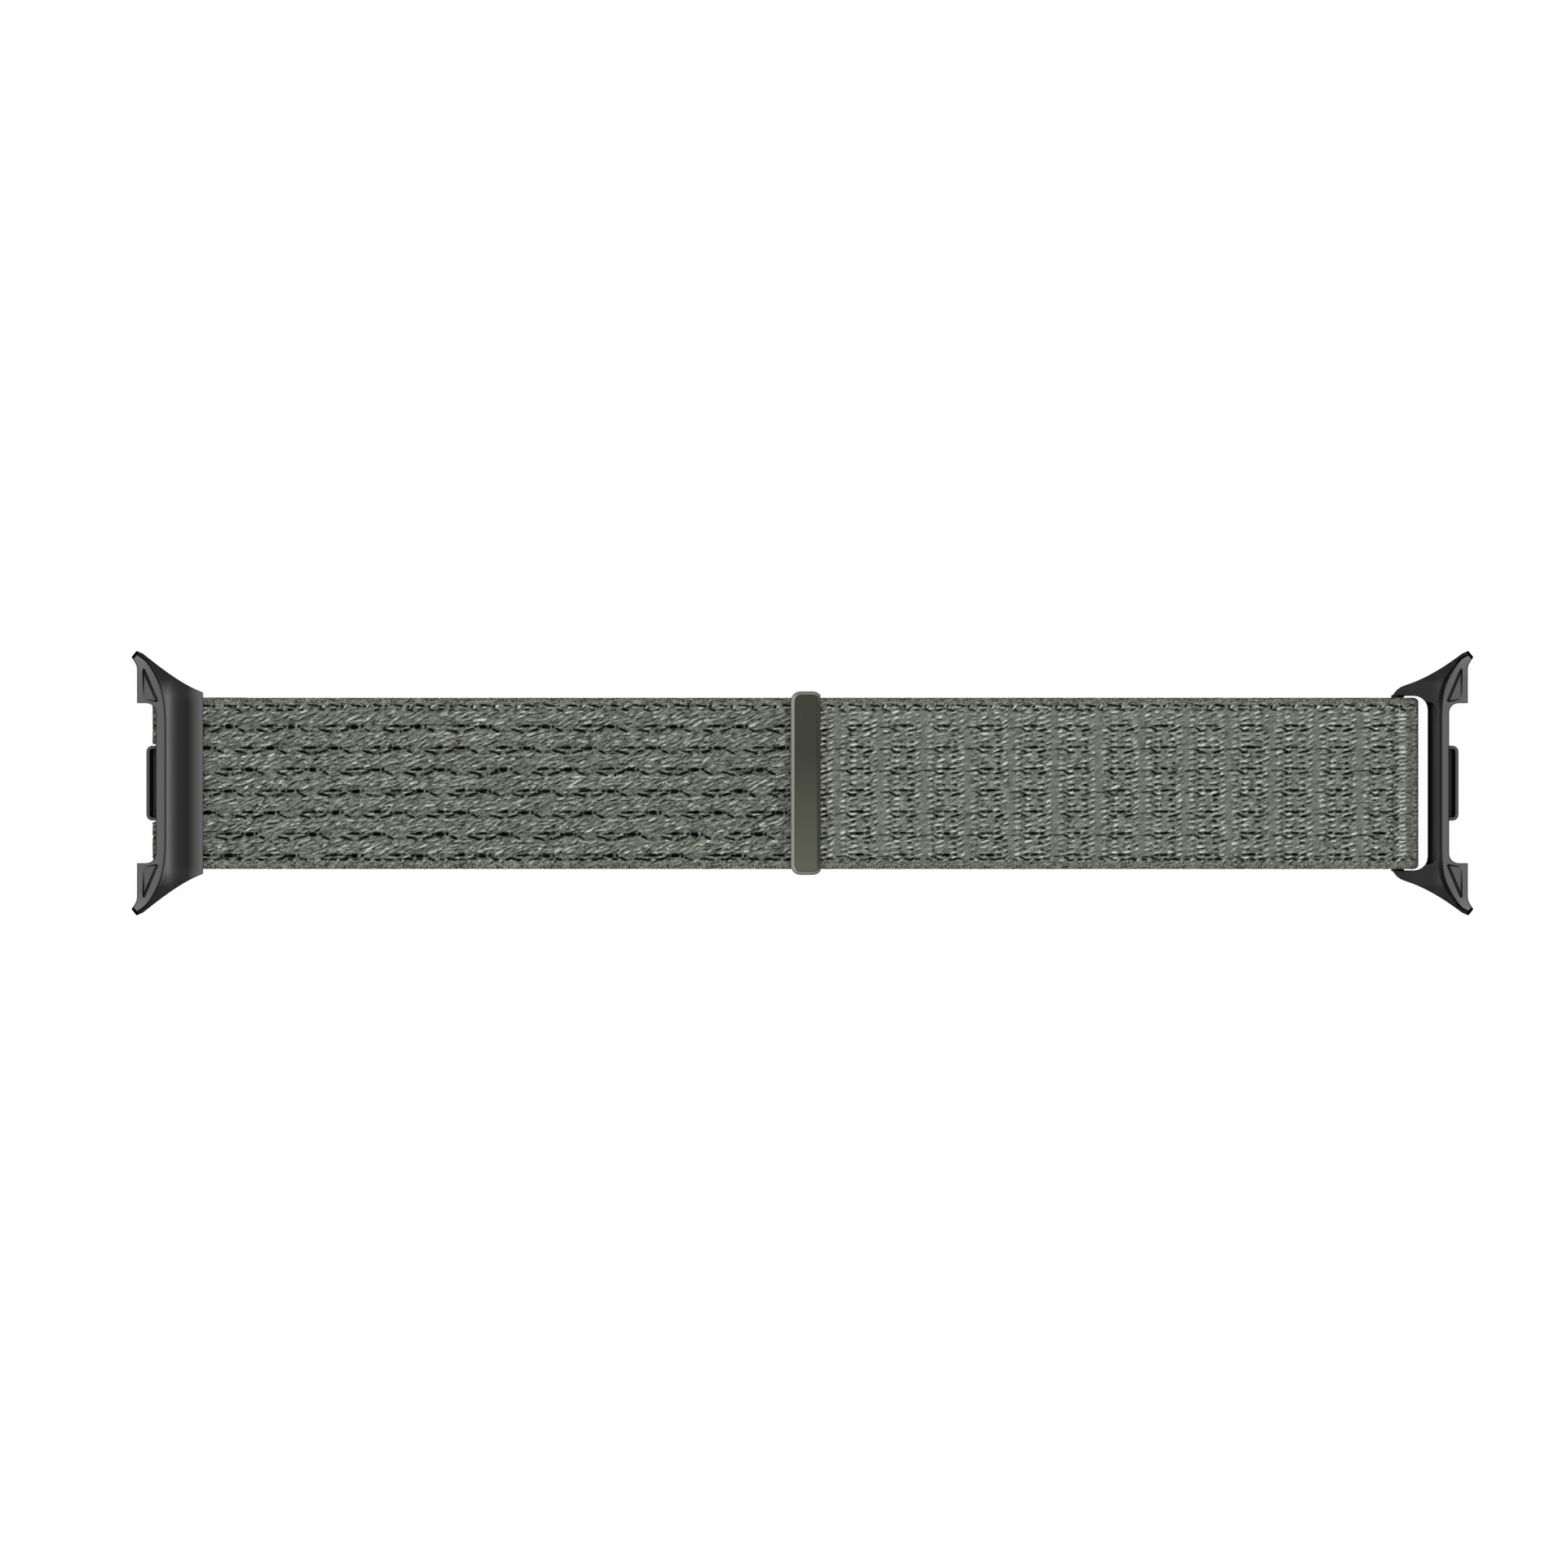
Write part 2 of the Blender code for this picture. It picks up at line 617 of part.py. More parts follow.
def groove_cutter(side):
    """The groove along the long edge of the recess."""
    corner_y = HORN_ROOT + RECESS_INSET
    far = Vector((-RECESS_FRONT, corner_y + RECESS_WIDTH))
    near = Vector((RECESS_TIP, corner_y))
    run = (near - far).normalized() * GROOVE_WIDTH
    outward = Vector((-run.y, run.x))
    half = [far + GROOVE_END_SHARE * run, near - GROOVE_END_SHARE * run]
    half = [p - GROOVE_SHARE * outward for p in half] + \
        [p + (1 - GROOVE_SHARE) * outward for p in half[::-1]]
    outline = [(p.x, p.y * side) for p in half]
    return prism([outline], LEDGE_TOP - GROOVE_DEPTH, CREST_TOP + OVERRUN)


def horn_cuts(body, holder):
    """Recess, groove and tip chamfer of both horns."""
    for label, cutter in (("recess", recess_cutter), ("groove", groove_cutter),
                          ("tip", tip_cutter)):
        for side, word in ((-1, "left"), (1, "right")):
            boolean(body, cutter(side), "DIFFERENCE", f"horn_{label}_{word}", holder)


def latch_cutters():
    """The latch pocket, the plate's recess, the slots for the tongue's legs and screw holes."""
    pocket_back = BOLT_DEPTH + RUN_GAP
    cutters = []
    pocket = rounded_box(-OVERRUN, pocket_back, POCKET_HALF, RUN_GAP, RUN_GAP)
    cutters.append(("pocket", prism([pocket], PLATE_LOW, COVER_UNDER)))
    recess = rounded_box(-OVERRUN, BLOCK_BACK, BLOCK_HALF + RUN_GAP / 2, RUN_GAP, RUN_GAP)
    cutters.append(("plate_recess", prism([recess], -OVERRUN, PLATE_TOP + SEAT_GAP)))
    leg_inner = LATCH_WIDTH / 2 - TONGUE_WALL - RUN_GAP
    leg_outer = LATCH_WIDTH / 2 + RUN_GAP
    for side in (-1, 1):
        word = "left" if side < 0 else "right"
        slot = [(-OVERRUN, side * leg_inner), (LEG_DEPTH + RUN_GAP, side * leg_inner),
                (LEG_DEPTH + RUN_GAP, side * leg_outer), (-OVERRUN, side * leg_outer)]
        slot_low = TONGUE_TOP - TONGUE_TALL - RUN_GAP
        cutters.append((f"leg_slot_{word}", prism([slot], slot_low, COVER_UNDER)))
        hole = cylinder(SCREW_HOLE, (SCREW_BACK, side * SCREW_SIDE, 0),
                        PLATE_TOP + SCREW_REACH + SCREW_PLAY, sides=SMALL_SIDES)
        cutters.append((f"screw_hole_{word}", hole))
    return cutters


def webbing_pocket():
    """The space for the webbing under the left cover, round the latch block."""
    front = PIN_BACK - WRAP_OUTER - 2 * SWIVEL_GAP
    back = COVER_DEPTH + OVERRUN
    outline = [(front, -CHEEK_HALF), (back, -CHEEK_HALF), (back, CHEEK_HALF), (front, CHEEK_HALF),
               (front, BLOCK_HALF), (BLOCK_BACK, BLOCK_HALF), (BLOCK_BACK, -BLOCK_HALF),
               (front, -BLOCK_HALF)]
    return prism([outline], -OVERRUN, COVER_UNDER)


def pin_meshes(radius, inner_end, outer_end):
    """A pair of pins, or of their holes, each side of the latch block."""
    length = outer_end - inner_end
    return [cylinder(radius, (PIN_BACK, start, PIN_HEIGHT), length, "Y")
            for start in (inner_end, -outer_end)]


def left_connector_shell(holder):
    """Covered connector: rim with ledge, horns, S-curved cover, cheeks and latch block."""
    body = prism([left_outline()], 0, CREST_TOP)
    shell = piece("left_connector_shell", body, "black_metal", holder)
    profile = prism([left_profile()], -TIP_HALF - OVERRUN, TIP_HALF + OVERRUN, "XZ")
    boolean(shell, profile, "INTERSECT", "side_profile", holder)
    cross = prism([cross_profile(CREST_TOP + WELD)], -HORN_REACH - OVERRUN,
                  COVER_DEPTH + OVERRUN, "YZ")
    boolean(shell, cross, "INTERSECT", "cross_profile", holder)
    ledge = ledge_cutter(STEP_BACK, LEFT_LEDGE_SHARES, LEFT_TIP_SHARES, STEP_BACK)
    boolean(shell, ledge, "DIFFERENCE", "ledge", holder)
    boolean(shell, webbing_pocket(), "DIFFERENCE", "webbing_pocket", holder)
    horn_cuts(shell, holder)
    for label, cutter in latch_cutters():
        boolean(shell, cutter, "DIFFERENCE", label, holder)
    holes = pin_meshes(PIN_RADIUS + PIN_PLAY / 2, BLOCK_HALF - PIN_SEAT,
                       CHEEK_HALF + PIN_CHEEK_SEAT + SEAT_GAP)
    for word, hole in zip(("right", "left"), holes):
        boolean(shell, hole, "DIFFERENCE", f"pin_hole_{word}", holder)


def left_strap_pins(holder):
    """The two pins that the webbing's tabs wrap."""
    pins = pin_meshes(PIN_RADIUS, BLOCK_HALF - PIN_SEAT + SEAT_GAP / 2,
                      CHEEK_HALF + PIN_CHEEK_SEAT)
    for word, pin in zip(("far", "near"), pins):
        piece(f"left_strap_pin_{word}", pin, "steel", holder)


def slot_cutter():
    """The slot between the arms, open at the crossbar's side, with round inner corners."""
    outline = rounded_box(BODY_DEPTH, RIGHT_DEPTH + 2 * OVERRUN, CHEEK_HALF, SLOT_CORNER, RUN_GAP)
    return prism([outline], -OVERRUN, CREST_TOP + OVERRUN)


def scallop_cutter():
    """The face that rolls over from the ridge down into the slot, cut section by section."""
    straight = CHEEK_HALF * SCALLOP_HALF_SHARE
    high = CREST_TOP + OVERRUN
    work = bmesh.new()
    rings = []
    for along, across in SCALLOP_ARC_SHARES:
        x = RIDGE_BACK + along * (BODY_DEPTH - RIDGE_BACK)
        y = straight + across * SCALLOP_REACH
        low = RIDGE_TOP - SCALLOP_STEP - SCALLOP_DEPTH * along * along
        rings.append([work.verts.new(p) for p in ((x, y, low), (x, -y, low), (x, -y, high),
                                                  (x, y, high))])
    for a, b in zip(rings, rings[1:]):
        for i in range(len(a)):
            j = (i + 1) % len(a)
            work.faces.new((a[i], a[j], b[j], b[i]))
    work.faces.new(rings[0])
    work.faces.new(rings[-1][::-1])
    bmesh.ops.recalc_face_normals(work, faces=work.faces)
    mesh = bpy.data.meshes.new("scallop")
    work.to_mesh(mesh)
    work.free()
    return mesh


def right_connector_frame(holder):
    """Open connector: rim with ledge and ridge, horns, arms, slot and crossbar."""
    body = prism([right_outline()], 0, CREST_TOP)
    frame = piece("right_connector_frame", body, "black_metal", holder)
    profile = prism([right_profile()], -TIP_HALF - OVERRUN, TIP_HALF + OVERRUN, "XZ")
    boolean(frame, profile, "INTERSECT", "side_profile", holder)
    cross = prism([cross_profile(CREST_TOP + WELD)], -HORN_REACH - OVERRUN,
                  RIGHT_DEPTH + OVERRUN, "YZ")
    boolean(frame, cross, "INTERSECT", "cross_profile", holder)
    ledge = ledge_cutter(RIDGE_FOOT, RIGHT_LEDGE_SHARES, RIGHT_TIP_SHARES, RIDGE_BACK)
    boolean(frame, ledge, "DIFFERENCE", "ledge", holder)
    horn_cuts(frame, holder)
    boolean(frame, scallop_cutter(), "DIFFERENCE", "scallop", holder)
    boolean(frame, slot_cutter(), "DIFFERENCE", "slot", holder)
    reach = CHEEK_HALF + SEAT_GAP
    bar = cylinder(BAR_RADIUS, (BAR_BACK, -reach, BAR_HEIGHT), 2 * reach, "Y")
    boolean(frame, bar, "UNION", "crossbar", holder)
    for label, cutter in latch_cutters():
        boolean(frame, cutter, "DIFFERENCE", label, holder)


# Latch

def latch_frame(side, holder):
    """The tongue, a tray with a U-shaped wall, and the legs that seat in the connector."""
    outer = LATCH_WIDTH / 2
    inner = outer - TONGUE_WALL
    front = -TONGUE_REACH
    tray = prism([rounded_box(front, -SEAT_GAP, outer, TONGUE_CORNER, RUN_GAP)], TRAY_LOW,
                 TONGUE_TOP)
    frame = piece(f"{side}_latch_frame", tray, "black_metal", holder)
    hollow = rounded_box(front + TONGUE_WALL, OVERRUN, inner, TONGUE_CORNER - TONGUE_WALL,
                         RUN_GAP)
    boolean(frame, prism([hollow], TRAY_LOW + TRAY_FLOOR, TONGUE_TOP + OVERRUN), "DIFFERENCE",
            "hollow", holder)
    for sign, word in ((-1, "left"), (1, "right")):
        leg = [(front / 2, sign * inner), (LEG_DEPTH, sign * inner), (LEG_DEPTH, sign * outer),
               (front / 2, sign * outer)]
        boolean(frame, prism([leg], TONGUE_TOP - TONGUE_TALL, TONGUE_TOP), "UNION",
                f"leg_{word}", holder)


def latch_bolt(side, holder):
    """The sliding bolt, with a lip in the tongue's opening and bores for the springs."""
    body = rounded_box(0, BOLT_DEPTH, BOLT_HALF, RUN_GAP, RUN_GAP)
    bolt = piece(f"{side}_latch_bolt", prism([body], BOLT_LIFT, BOLT_TOP), "black_metal", holder)
    neck = BOLT_HALF - RUN_GAP
    half = [(-LIP_EDGE - LIP_DEPTH, LIP_HALF), (-LIP_EDGE / 2, LIP_HALF), (-LIP_EDGE / 2, neck),
            (LIP_EDGE, neck)]
    lip = prism([mirrored(half)], BOLT_TOP - LIP_TALL, BOLT_TOP - WELD)
    boolean(bolt, lip, "UNION", "lip", holder)
    for sign, word in ((-1, "left"), (1, "right")):
        place = (SPRING_BACK, sign * SPRING_SIDE, BOLT_LIFT + SPRING_FLOOR)
        bore = cylinder(SPRING_BORE, place, BOLT_TALL, sides=SMALL_SIDES)
        boolean(bolt, bore, "DIFFERENCE", f"bore_{word}", holder)


def place_word(side, sign):
    """Which of a pair lies at the far or the near edge of the strap."""
    turned = -sign if side == "right" else sign
    return "far" if turned > 0 else "near"


def stadium(half_width, half_length):
    """Outline of a slot shape that is long in Y, round the springs' line."""
    straight = half_length - half_width
    return (arc((SPRING_BACK, straight), half_width, 0, 180, BUTTON_STEPS)
            + arc((SPRING_BACK, -straight), half_width, 180, 360, BUTTON_STEPS))


def button_half_length():
    """Half the length of the release button."""
    return BOLT_HALF * BUTTON_LENGTH_SHARE


def release_button(side, holder):
    """The button under the connector, with a flange above the back plate."""
    body = prism([stadium(BUTTON_HALF, button_half_length())], BUTTON_LOW, BOLT_LIFT - RUN_GAP)
    button = piece(f"{side}_release_button", body, "black_metal", holder)
    flange_top = BOLT_LIFT - RUN_GAP - WELD
    flange = stadium(BUTTON_HALF + BUTTON_FLANGE, button_half_length() + BUTTON_FLANGE)
    boolean(button, prism([flange], flange_top - BUTTON_FLANGE_TALL, flange_top), "UNION",
            "flange", holder)


def spring_mesh(sign):
    """One coil spring, a wire along a helix, seated between the bolt and the ceiling."""
    low = BOLT_LIFT + SPRING_FLOOR + SPRING_WIRE / 2 + SPRING_PLAY
    high = COVER_UNDER - SPRING_WIRE / 2 - SPRING_PLAY
    steps = SPRING_TURNS * SPRING_TURN_STEPS
    curve = bpy.data.curves.new("spring", "CURVE")
    curve.dimensions = "3D"
    curve.bevel_depth = SPRING_WIRE / 2
    curve.bevel_resolution = 1
    curve.use_fill_caps = True
    spline = curve.splines.new("POLY")
    spline.points.add(steps)
    for i, point in enumerate(spline.points):
        angle = 2 * math.pi * i / SPRING_TURN_STEPS
        point.co = (SPRING_BACK + SPRING_RADIUS * math.cos(angle),
                    sign * SPRING_SIDE + SPRING_RADIUS * math.sin(angle),
                    low + (high - low) * i / steps, 1)
    guide = bpy.data.objects.new("spring", curve)
    bpy.context.scene.collection.objects.link(guide)
    depsgraph = bpy.context.evaluated_depsgraph_get()
    mesh = bpy.data.meshes.new_from_object(guide.evaluated_get(depsgraph))
    bpy.data.objects.remove(guide)
    bpy.data.curves.remove(curve)
    weld(mesh)
    return mesh


def latch_springs(side, holder):
    """The pair of coil springs above the bolt."""
    for sign in (-1, 1):
        piece(f"{side}_latch_spring_{place_word(side, sign)}", spring_mesh(sign), "spring_steel",
              holder)


def back_plate(side, holder):
    """The plate that closes the latch from below, with the button's window."""
    outline = rounded_box(PLATE_FRONT, BLOCK_BACK - RUN_GAP, BLOCK_HALF - RUN_GAP,
                          TONGUE_CORNER, TONGUE_CORNER)
    window = stadium(BUTTON_HALF + RUN_GAP, button_half_length() + RUN_GAP)
    plate = piece(f"{side}_back_plate", prism([outline, window], PLATE_LOW, PLATE_TOP),
                  "black_metal", holder)
    for sign, word in ((-1, "left"), (1, "right")):
        place = (SCREW_BACK, sign * SCREW_SIDE, PLATE_LOW - OVERRUN)
        hole = cylinder(SCREW_HOLE, place, 3 * OVERRUN, sides=SMALL_SIDES)
        boolean(plate, hole, "DIFFERENCE", f"screw_hole_{word}", holder)
        sink = cylinder(SCREW_HEAD + SCREW_PLAY, place, OVERRUN + SCREW_HEAD_TALL + SEAT_GAP,
                        sides=SMALL_SIDES)
        boolean(plate, sink, "DIFFERENCE", f"screw_sink_{word}", holder)


def plate_screw(side, sign, holder):
    """A flat-headed screw with a driver slot."""
    place_y = sign * SCREW_SIDE
    head = cylinder(SCREW_HEAD, (SCREW_BACK, place_y, PLATE_LOW), SCREW_HEAD_TALL,
                    sides=SMALL_SIDES)
    screw = piece(f"{side}_plate_screw_{place_word(side, sign)}", head, "steel", holder)
    start = PLATE_LOW + SCREW_HEAD_TALL / 2
    shank = cylinder(SCREW_RADIUS, (SCREW_BACK, place_y, start),
                     PLATE_TOP + SCREW_REACH - start, sides=SMALL_SIDES)
    boolean(screw, shank, "UNION", "shank", holder)
    reach = SCREW_HEAD + OVERRUN
    half = SCREW_SLOT_WIDTH / 2
    slot = [(SCREW_BACK - reach, place_y - half), (SCREW_BACK + reach, place_y - half),
            (SCREW_BACK + reach, place_y + half), (SCREW_BACK - reach, place_y + half)]
    boolean(screw, prism([slot], PLATE_LOW - OVERRUN, PLATE_LOW + SCREW_SLOT_DEPTH),
            "DIFFERENCE", "driver_slot", holder)


def latch(side, connector, slider):
    """The whole latch of one connector: fixed pieces and the sliding ones."""
    latch_frame(side, connector)
    back_plate(side, connector)
    for sign in (-1, 1):
        plate_screw(side, sign, connector)
    latch_bolt(side, slider)
    release_button(side, slider)
    latch_springs(side, slider)


# Webbing

def web(name, loops, holder=None):
    """A stretch of webbing, its side profile across the whole width."""
    return piece(name, prism(loops, -WEB_HALF, WEB_HALF, "XZ"), "webbing", holder)


def strap_lower_run():
    """From the pins under the left cover along the table."""
    pin_x = PIN_BACK - RIM_X
    top = PIN_HEIGHT + WRAP_OUTER
    outer = [(LOWER_SPLIT, 0), (LOWER_SPLIT, WEB_THICK)]
    for i in range(CURVE_STEPS):
        t = i / CURVE_STEPS
        outer.append((pin_x + RISE_LENGTH * (1 - t), WEB_THICK + (top - WEB_THICK) * ease(t)))
    outer += arc((pin_x, PIN_HEIGHT), WRAP_OUTER, 90, 270, 3 * CORNER_STEPS)
    for i in range(1, CORNER_STEPS + 1):
        t = i / CORNER_STEPS
        outer.append((pin_x + TAIL_SETTLE * t, TAIL_LIFT * (1 - ease(t))))
    tangent = math.degrees(math.acos(WRAP_INNER / TEAR_LENGTH))
    inner = arc((pin_x, PIN_HEIGHT), WRAP_INNER, tangent, 360 - tangent, 3 * CORNER_STEPS)
    inner.append((pin_x + TEAR_LENGTH, PIN_HEIGHT))
    run = web("strap_lower_run", [outer, inner])
    notch = rounded_box(-OVERRUN - HORN_REACH - RIM_X, NOTCH_BACK - RIM_X, TAB_SIDE, RUN_GAP,
                        SWIVEL_GAP)
    boolean(run, prism([notch], -OVERRUN, CREST_TOP), "DIFFERENCE", "latch_notch")


def strap_lower_feed():
    """The stretch that the size setting makes longer or shorter."""
    web("strap_lower_feed", [[(LOWER_SPLIT + FEED_GAP, 0), (BAR_X - FEED_GAP, 0),
                              (BAR_X - FEED_GAP, WEB_THICK), (LOWER_SPLIT + FEED_GAP, WEB_THICK)]])


def strap_fold(holder):
    """The quarter turn in front of the crossbar."""
    centre = (BAR_X, BAR_HEIGHT)
    outline = arc(centre, FOLD_OUTER, -90, 0, 2 * CORNER_STEPS)
    outline += arc(centre, FOLD_INNER, 0, -90, 2 * CORNER_STEPS)
    web("strap_fold", [outline], holder)


def strap_return_bend(holder):
    """Over the crossbar and down to the lower run."""
    centre = (BAR_X, BAR_HEIGHT)
    start = math.degrees(FEED_GAP / FOLD_INNER)
    high = BAR_HEIGHT + FOLD_MIDDLE
    low = RETURN_LOW + WEB_THICK / 2
    slope = []
    for i in range(1, 2 * CURVE_STEPS + 1):
        t = i / (2 * CURVE_STEPS)
        slope.append((BAR_X - SETTLE_LENGTH * t, high + (low - high) * ease(t)))
    slope.append((RETURN_SPLIT + FEED_GAP, low))
    outline = arc(centre, FOLD_OUTER, start, 90, 2 * CORNER_STEPS)
    outline += [(x, z + WEB_THICK / 2) for x, z in slope]
    outline += [(x, z - WEB_THICK / 2) for x, z in reversed(slope)]
    outline += arc(centre, FOLD_INNER, 90, start, 2 * CORNER_STEPS)
    web("strap_return_bend", [outline], holder)


def strap_return_end(holder):
    """The level return run, whose free end the clasp holds."""
    end = CLASP_END + CLASP_WALL + SEAT_GAP
    box = [(end, RETURN_LOW), (RETURN_SPLIT, RETURN_LOW), (RETURN_SPLIT, RETURN_TOP),
           (end, RETURN_TOP)]
    run = web("strap_return_end", [box], holder)
    pins = clasp_pin_meshes(CLASP_PIN_RADIUS + CLASP_PIN_PLAY, CLASP_LOW, CLASP_TOP)
    boolean(run, joined(pins), "DIFFERENCE", "pin_holes", holder)


def hook_pad(holder):
    """The hook pad under the return run."""
    start = CLASP_MOUTH + PAD_INSET
    outline = rounded_box(start, start + PAD_LENGTH, WEB_HALF - PAD_INSET, PAD_CORNER, PAD_CORNER)
    low = WEB_THICK + PAD_GAP
    piece("hook_pad", prism([outline], low, low + PAD_THICK), "hook_nylon", holder)


# End clasp

def clasp_pin_meshes(radius, low, high):
    """A pair of pins, or of their holes, through the clasp."""
    return [cylinder(radius, (CLASP_PIN_X, sign * CLASP_PIN_SIDE, low), high - low,
                     sides=SMALL_SIDES) for sign in (-1, 1)]


def clasp_cover(holder):
    """Pressed cover with chamfered outer edges, open at its mouth and below."""
    centre_y = CLASP_HALF - CLASP_CORNER
    half = arc((CLASP_END + CLASP_CORNER, centre_y), CLASP_CORNER, 180, 90, CORNER_STEPS)
    half += arc((CLASP_MOUTH - CLASP_CORNER * CLASP_MOUTH_SHARE, centre_y), CLASP_CORNER, 90,
                math.degrees(math.acos(CLASP_MOUTH_SHARE)), CORNER_STEPS)
    mesh = prism([mirrored(half)], CLASP_LOW, CLASP_TOP)
    work = bmesh.new()
    work.from_mesh(mesh)
    bmesh.ops.dissolve_limit(work, angle_limit=math.radians(1), verts=work.verts, edges=work.edges)
    rim = [e for e in work.edges if all(v.co.z > CLASP_TOP - WELD for v in e.verts)]
    bmesh.ops.bevel(work, geom=rim, offset=CLASP_CHAMFER, segments=1, affect="EDGES")
    for vertex in work.verts:
        if vertex.co.z > CLASP_TOP - WELD:
            vertex.co.x += CLASP_LEAN
    work.to_mesh(mesh)
    work.free()
    weld(mesh)
    cover = piece("clasp_cover", mesh, "olive_metal", holder)
    inside = rounded_box(CLASP_END + CLASP_WALL, CLASP_MOUTH + OVERRUN,
                         WEB_HALF + CLASP_SIDE_GAP, SEAT_GAP, SEAT_GAP)
    boolean(cover, prism([inside], CLASP_LOW - OVERRUN, CLASP_CEILING), "DIFFERENCE", "inside",
            holder)
    holes = clasp_pin_meshes(CLASP_PIN_RADIUS + CLASP_PIN_PLAY / 2, CLASP_LOW,
                             CLASP_CEILING + CLASP_PIN_SEAT + SEAT_GAP)
    boolean(cover, joined(holes), "DIFFERENCE", "pin_holes", holder)


def clasp_base_plate(holder):
    """The plate inside the cover, under the webbing."""
    outline = rounded_box(CLASP_END + CLASP_WALL + SEAT_GAP, CLASP_MOUTH - SEAT_GAP, WEB_HALF,
                          SEAT_GAP, SEAT_GAP)
    plate = piece("clasp_base_plate", prism([outline], CLASP_LOW, RETURN_LOW - SEAT_GAP),
                  "olive_metal", holder)
    holes = clasp_pin_meshes(CLASP_PIN_RADIUS + CLASP_PIN_PLAY / 2, CLASP_LOW - OVERRUN,
                             CLASP_TOP)
    boolean(plate, joined(holes), "DIFFERENCE", "pin_holes", holder)


def clasp_pins(holder):
    """Two pins from the plate through the webbing into the cover."""
    pins = clasp_pin_meshes(CLASP_PIN_RADIUS, CLASP_LOW + SEAT_GAP / 2,
                            CLASP_CEILING + CLASP_PIN_SEAT)
    for word, pin in zip(("near", "far"), pins):
        piece(f"clasp_pin_{word}", pin, "steel", holder)


def build():
    """Make the whole strap."""
    bar_axis = (BAR_X, 0, BAR_HEIGHT)
    left = Holder("left_swivel_axis", (PIN_BACK, 0, PIN_HEIGHT), shift=-RIM_X)
    left_slider = Holder("left_latch_axis", (SPRING_BACK, 0, BOLT_LIFT), left)
    right = Holder("right_swivel_axis", (BAR_BACK, 0, BAR_HEIGHT), shift=RIM_X, turn=math.pi)
    right_slider = Holder("right_latch_axis", (SPRING_BACK, 0, BOLT_LIFT), right)
    loop = Holder("size_adjust_axis", bar_axis)
    flap = Holder("flap_peel_axis", bar_axis, loop)
    end = Holder("clasp_feed_axis", (RETURN_SPLIT, 0, RETURN_LOW), flap)

    left_connector_shell(left)
    left_strap_pins(left)
    latch("left", left, left_slider)
    right_connector_frame(right)
    latch("right", right, right_slider)
    strap_lower_run()
    strap_lower_feed()
    strap_fold(loop)
    strap_return_bend(flap)
    strap_return_end(end)
    hook_pad(end)
    clasp_cover(end)
    clasp_base_plate(end)
    clasp_pins(end)


PART, CUTTERS = clear_scene()
build()
shade_pieces()
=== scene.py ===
"""Looks of the nylon watch strap: woven webbing, satin black connectors and the end clasp.

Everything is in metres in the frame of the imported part. +X runs along the strap towards the
crossbar, +Y across it and +Z out of its outer face. Far is +Y and near is -Y.
"""
import math

import bpy
import numpy as np
from mathutils import Matrix, Vector

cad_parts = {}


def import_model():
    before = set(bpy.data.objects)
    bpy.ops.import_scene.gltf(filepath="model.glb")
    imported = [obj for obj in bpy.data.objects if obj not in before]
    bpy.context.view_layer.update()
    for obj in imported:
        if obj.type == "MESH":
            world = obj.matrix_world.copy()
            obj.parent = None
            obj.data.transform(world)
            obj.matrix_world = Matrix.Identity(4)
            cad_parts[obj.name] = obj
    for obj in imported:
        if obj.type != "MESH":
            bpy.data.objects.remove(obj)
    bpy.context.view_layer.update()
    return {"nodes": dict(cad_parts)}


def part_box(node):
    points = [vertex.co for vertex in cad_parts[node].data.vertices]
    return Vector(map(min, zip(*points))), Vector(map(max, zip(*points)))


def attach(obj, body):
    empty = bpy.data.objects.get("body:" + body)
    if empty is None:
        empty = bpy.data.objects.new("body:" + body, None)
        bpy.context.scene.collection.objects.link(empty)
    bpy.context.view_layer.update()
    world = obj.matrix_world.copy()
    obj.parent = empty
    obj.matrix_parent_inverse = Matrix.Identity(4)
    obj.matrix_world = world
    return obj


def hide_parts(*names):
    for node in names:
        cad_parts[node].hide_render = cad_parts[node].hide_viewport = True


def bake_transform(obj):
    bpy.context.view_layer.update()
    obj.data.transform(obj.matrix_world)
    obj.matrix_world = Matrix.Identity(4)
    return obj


MM = 0.001

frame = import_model()
NODES = frame["nodes"]

# Camera and stage, in the photograph's frame
FRAME_WIDTH = 183.54 * MM
FRAME_CENTRE = (-2.16 * MM, -0.1 * MM)
CAMERA_HEIGHT = 0.5
CAMERA_CLIP = (0.01, 10)
FLOOR_HALF = 3.0
FLOOR_GAP = 0.08 * MM  # room for yarns that stand out below
WHITE = (1, 1, 1, 1)
FLOOR_COLOUR = (0.8, 0.8, 0.8, 1)
FLOOR_SHADOW = (0.06, 0.06, 0.06, 1)  # of light and shadow on the seen floor
FLOOR_GLOW = 0.96
WORLD_LIGHT = 0.38

# Lamps: name, place, size and radiance. The soft top light is brightest in its middle.
LAMPS = (
    ("top_inner", (0, 0, 1.0), 0.5, 2.5),
    ("top_middle", (0, 0, 1.0), 0.95, 1.4),
    ("top_outer", (0, 0, 1.0), 1.7, 0.5),
    ("key_light", (-0.7, 0.8, 0.8), 0.35, 3.0),
)

# Webbing, as in the part
WEB_THICK = 1.5 * MM
SPLIT_X = 0.4 * MM  # seam of the lower run, under the clasp
RUN_START = 2.3 * MM  # where its full width starts, from the left pins
RISE_LENGTH = 11.7 * MM  # over which the lower run rises to the left pins
SETTLE_LENGTH = 24.6 * MM  # over which the return run comes down from the crossbar

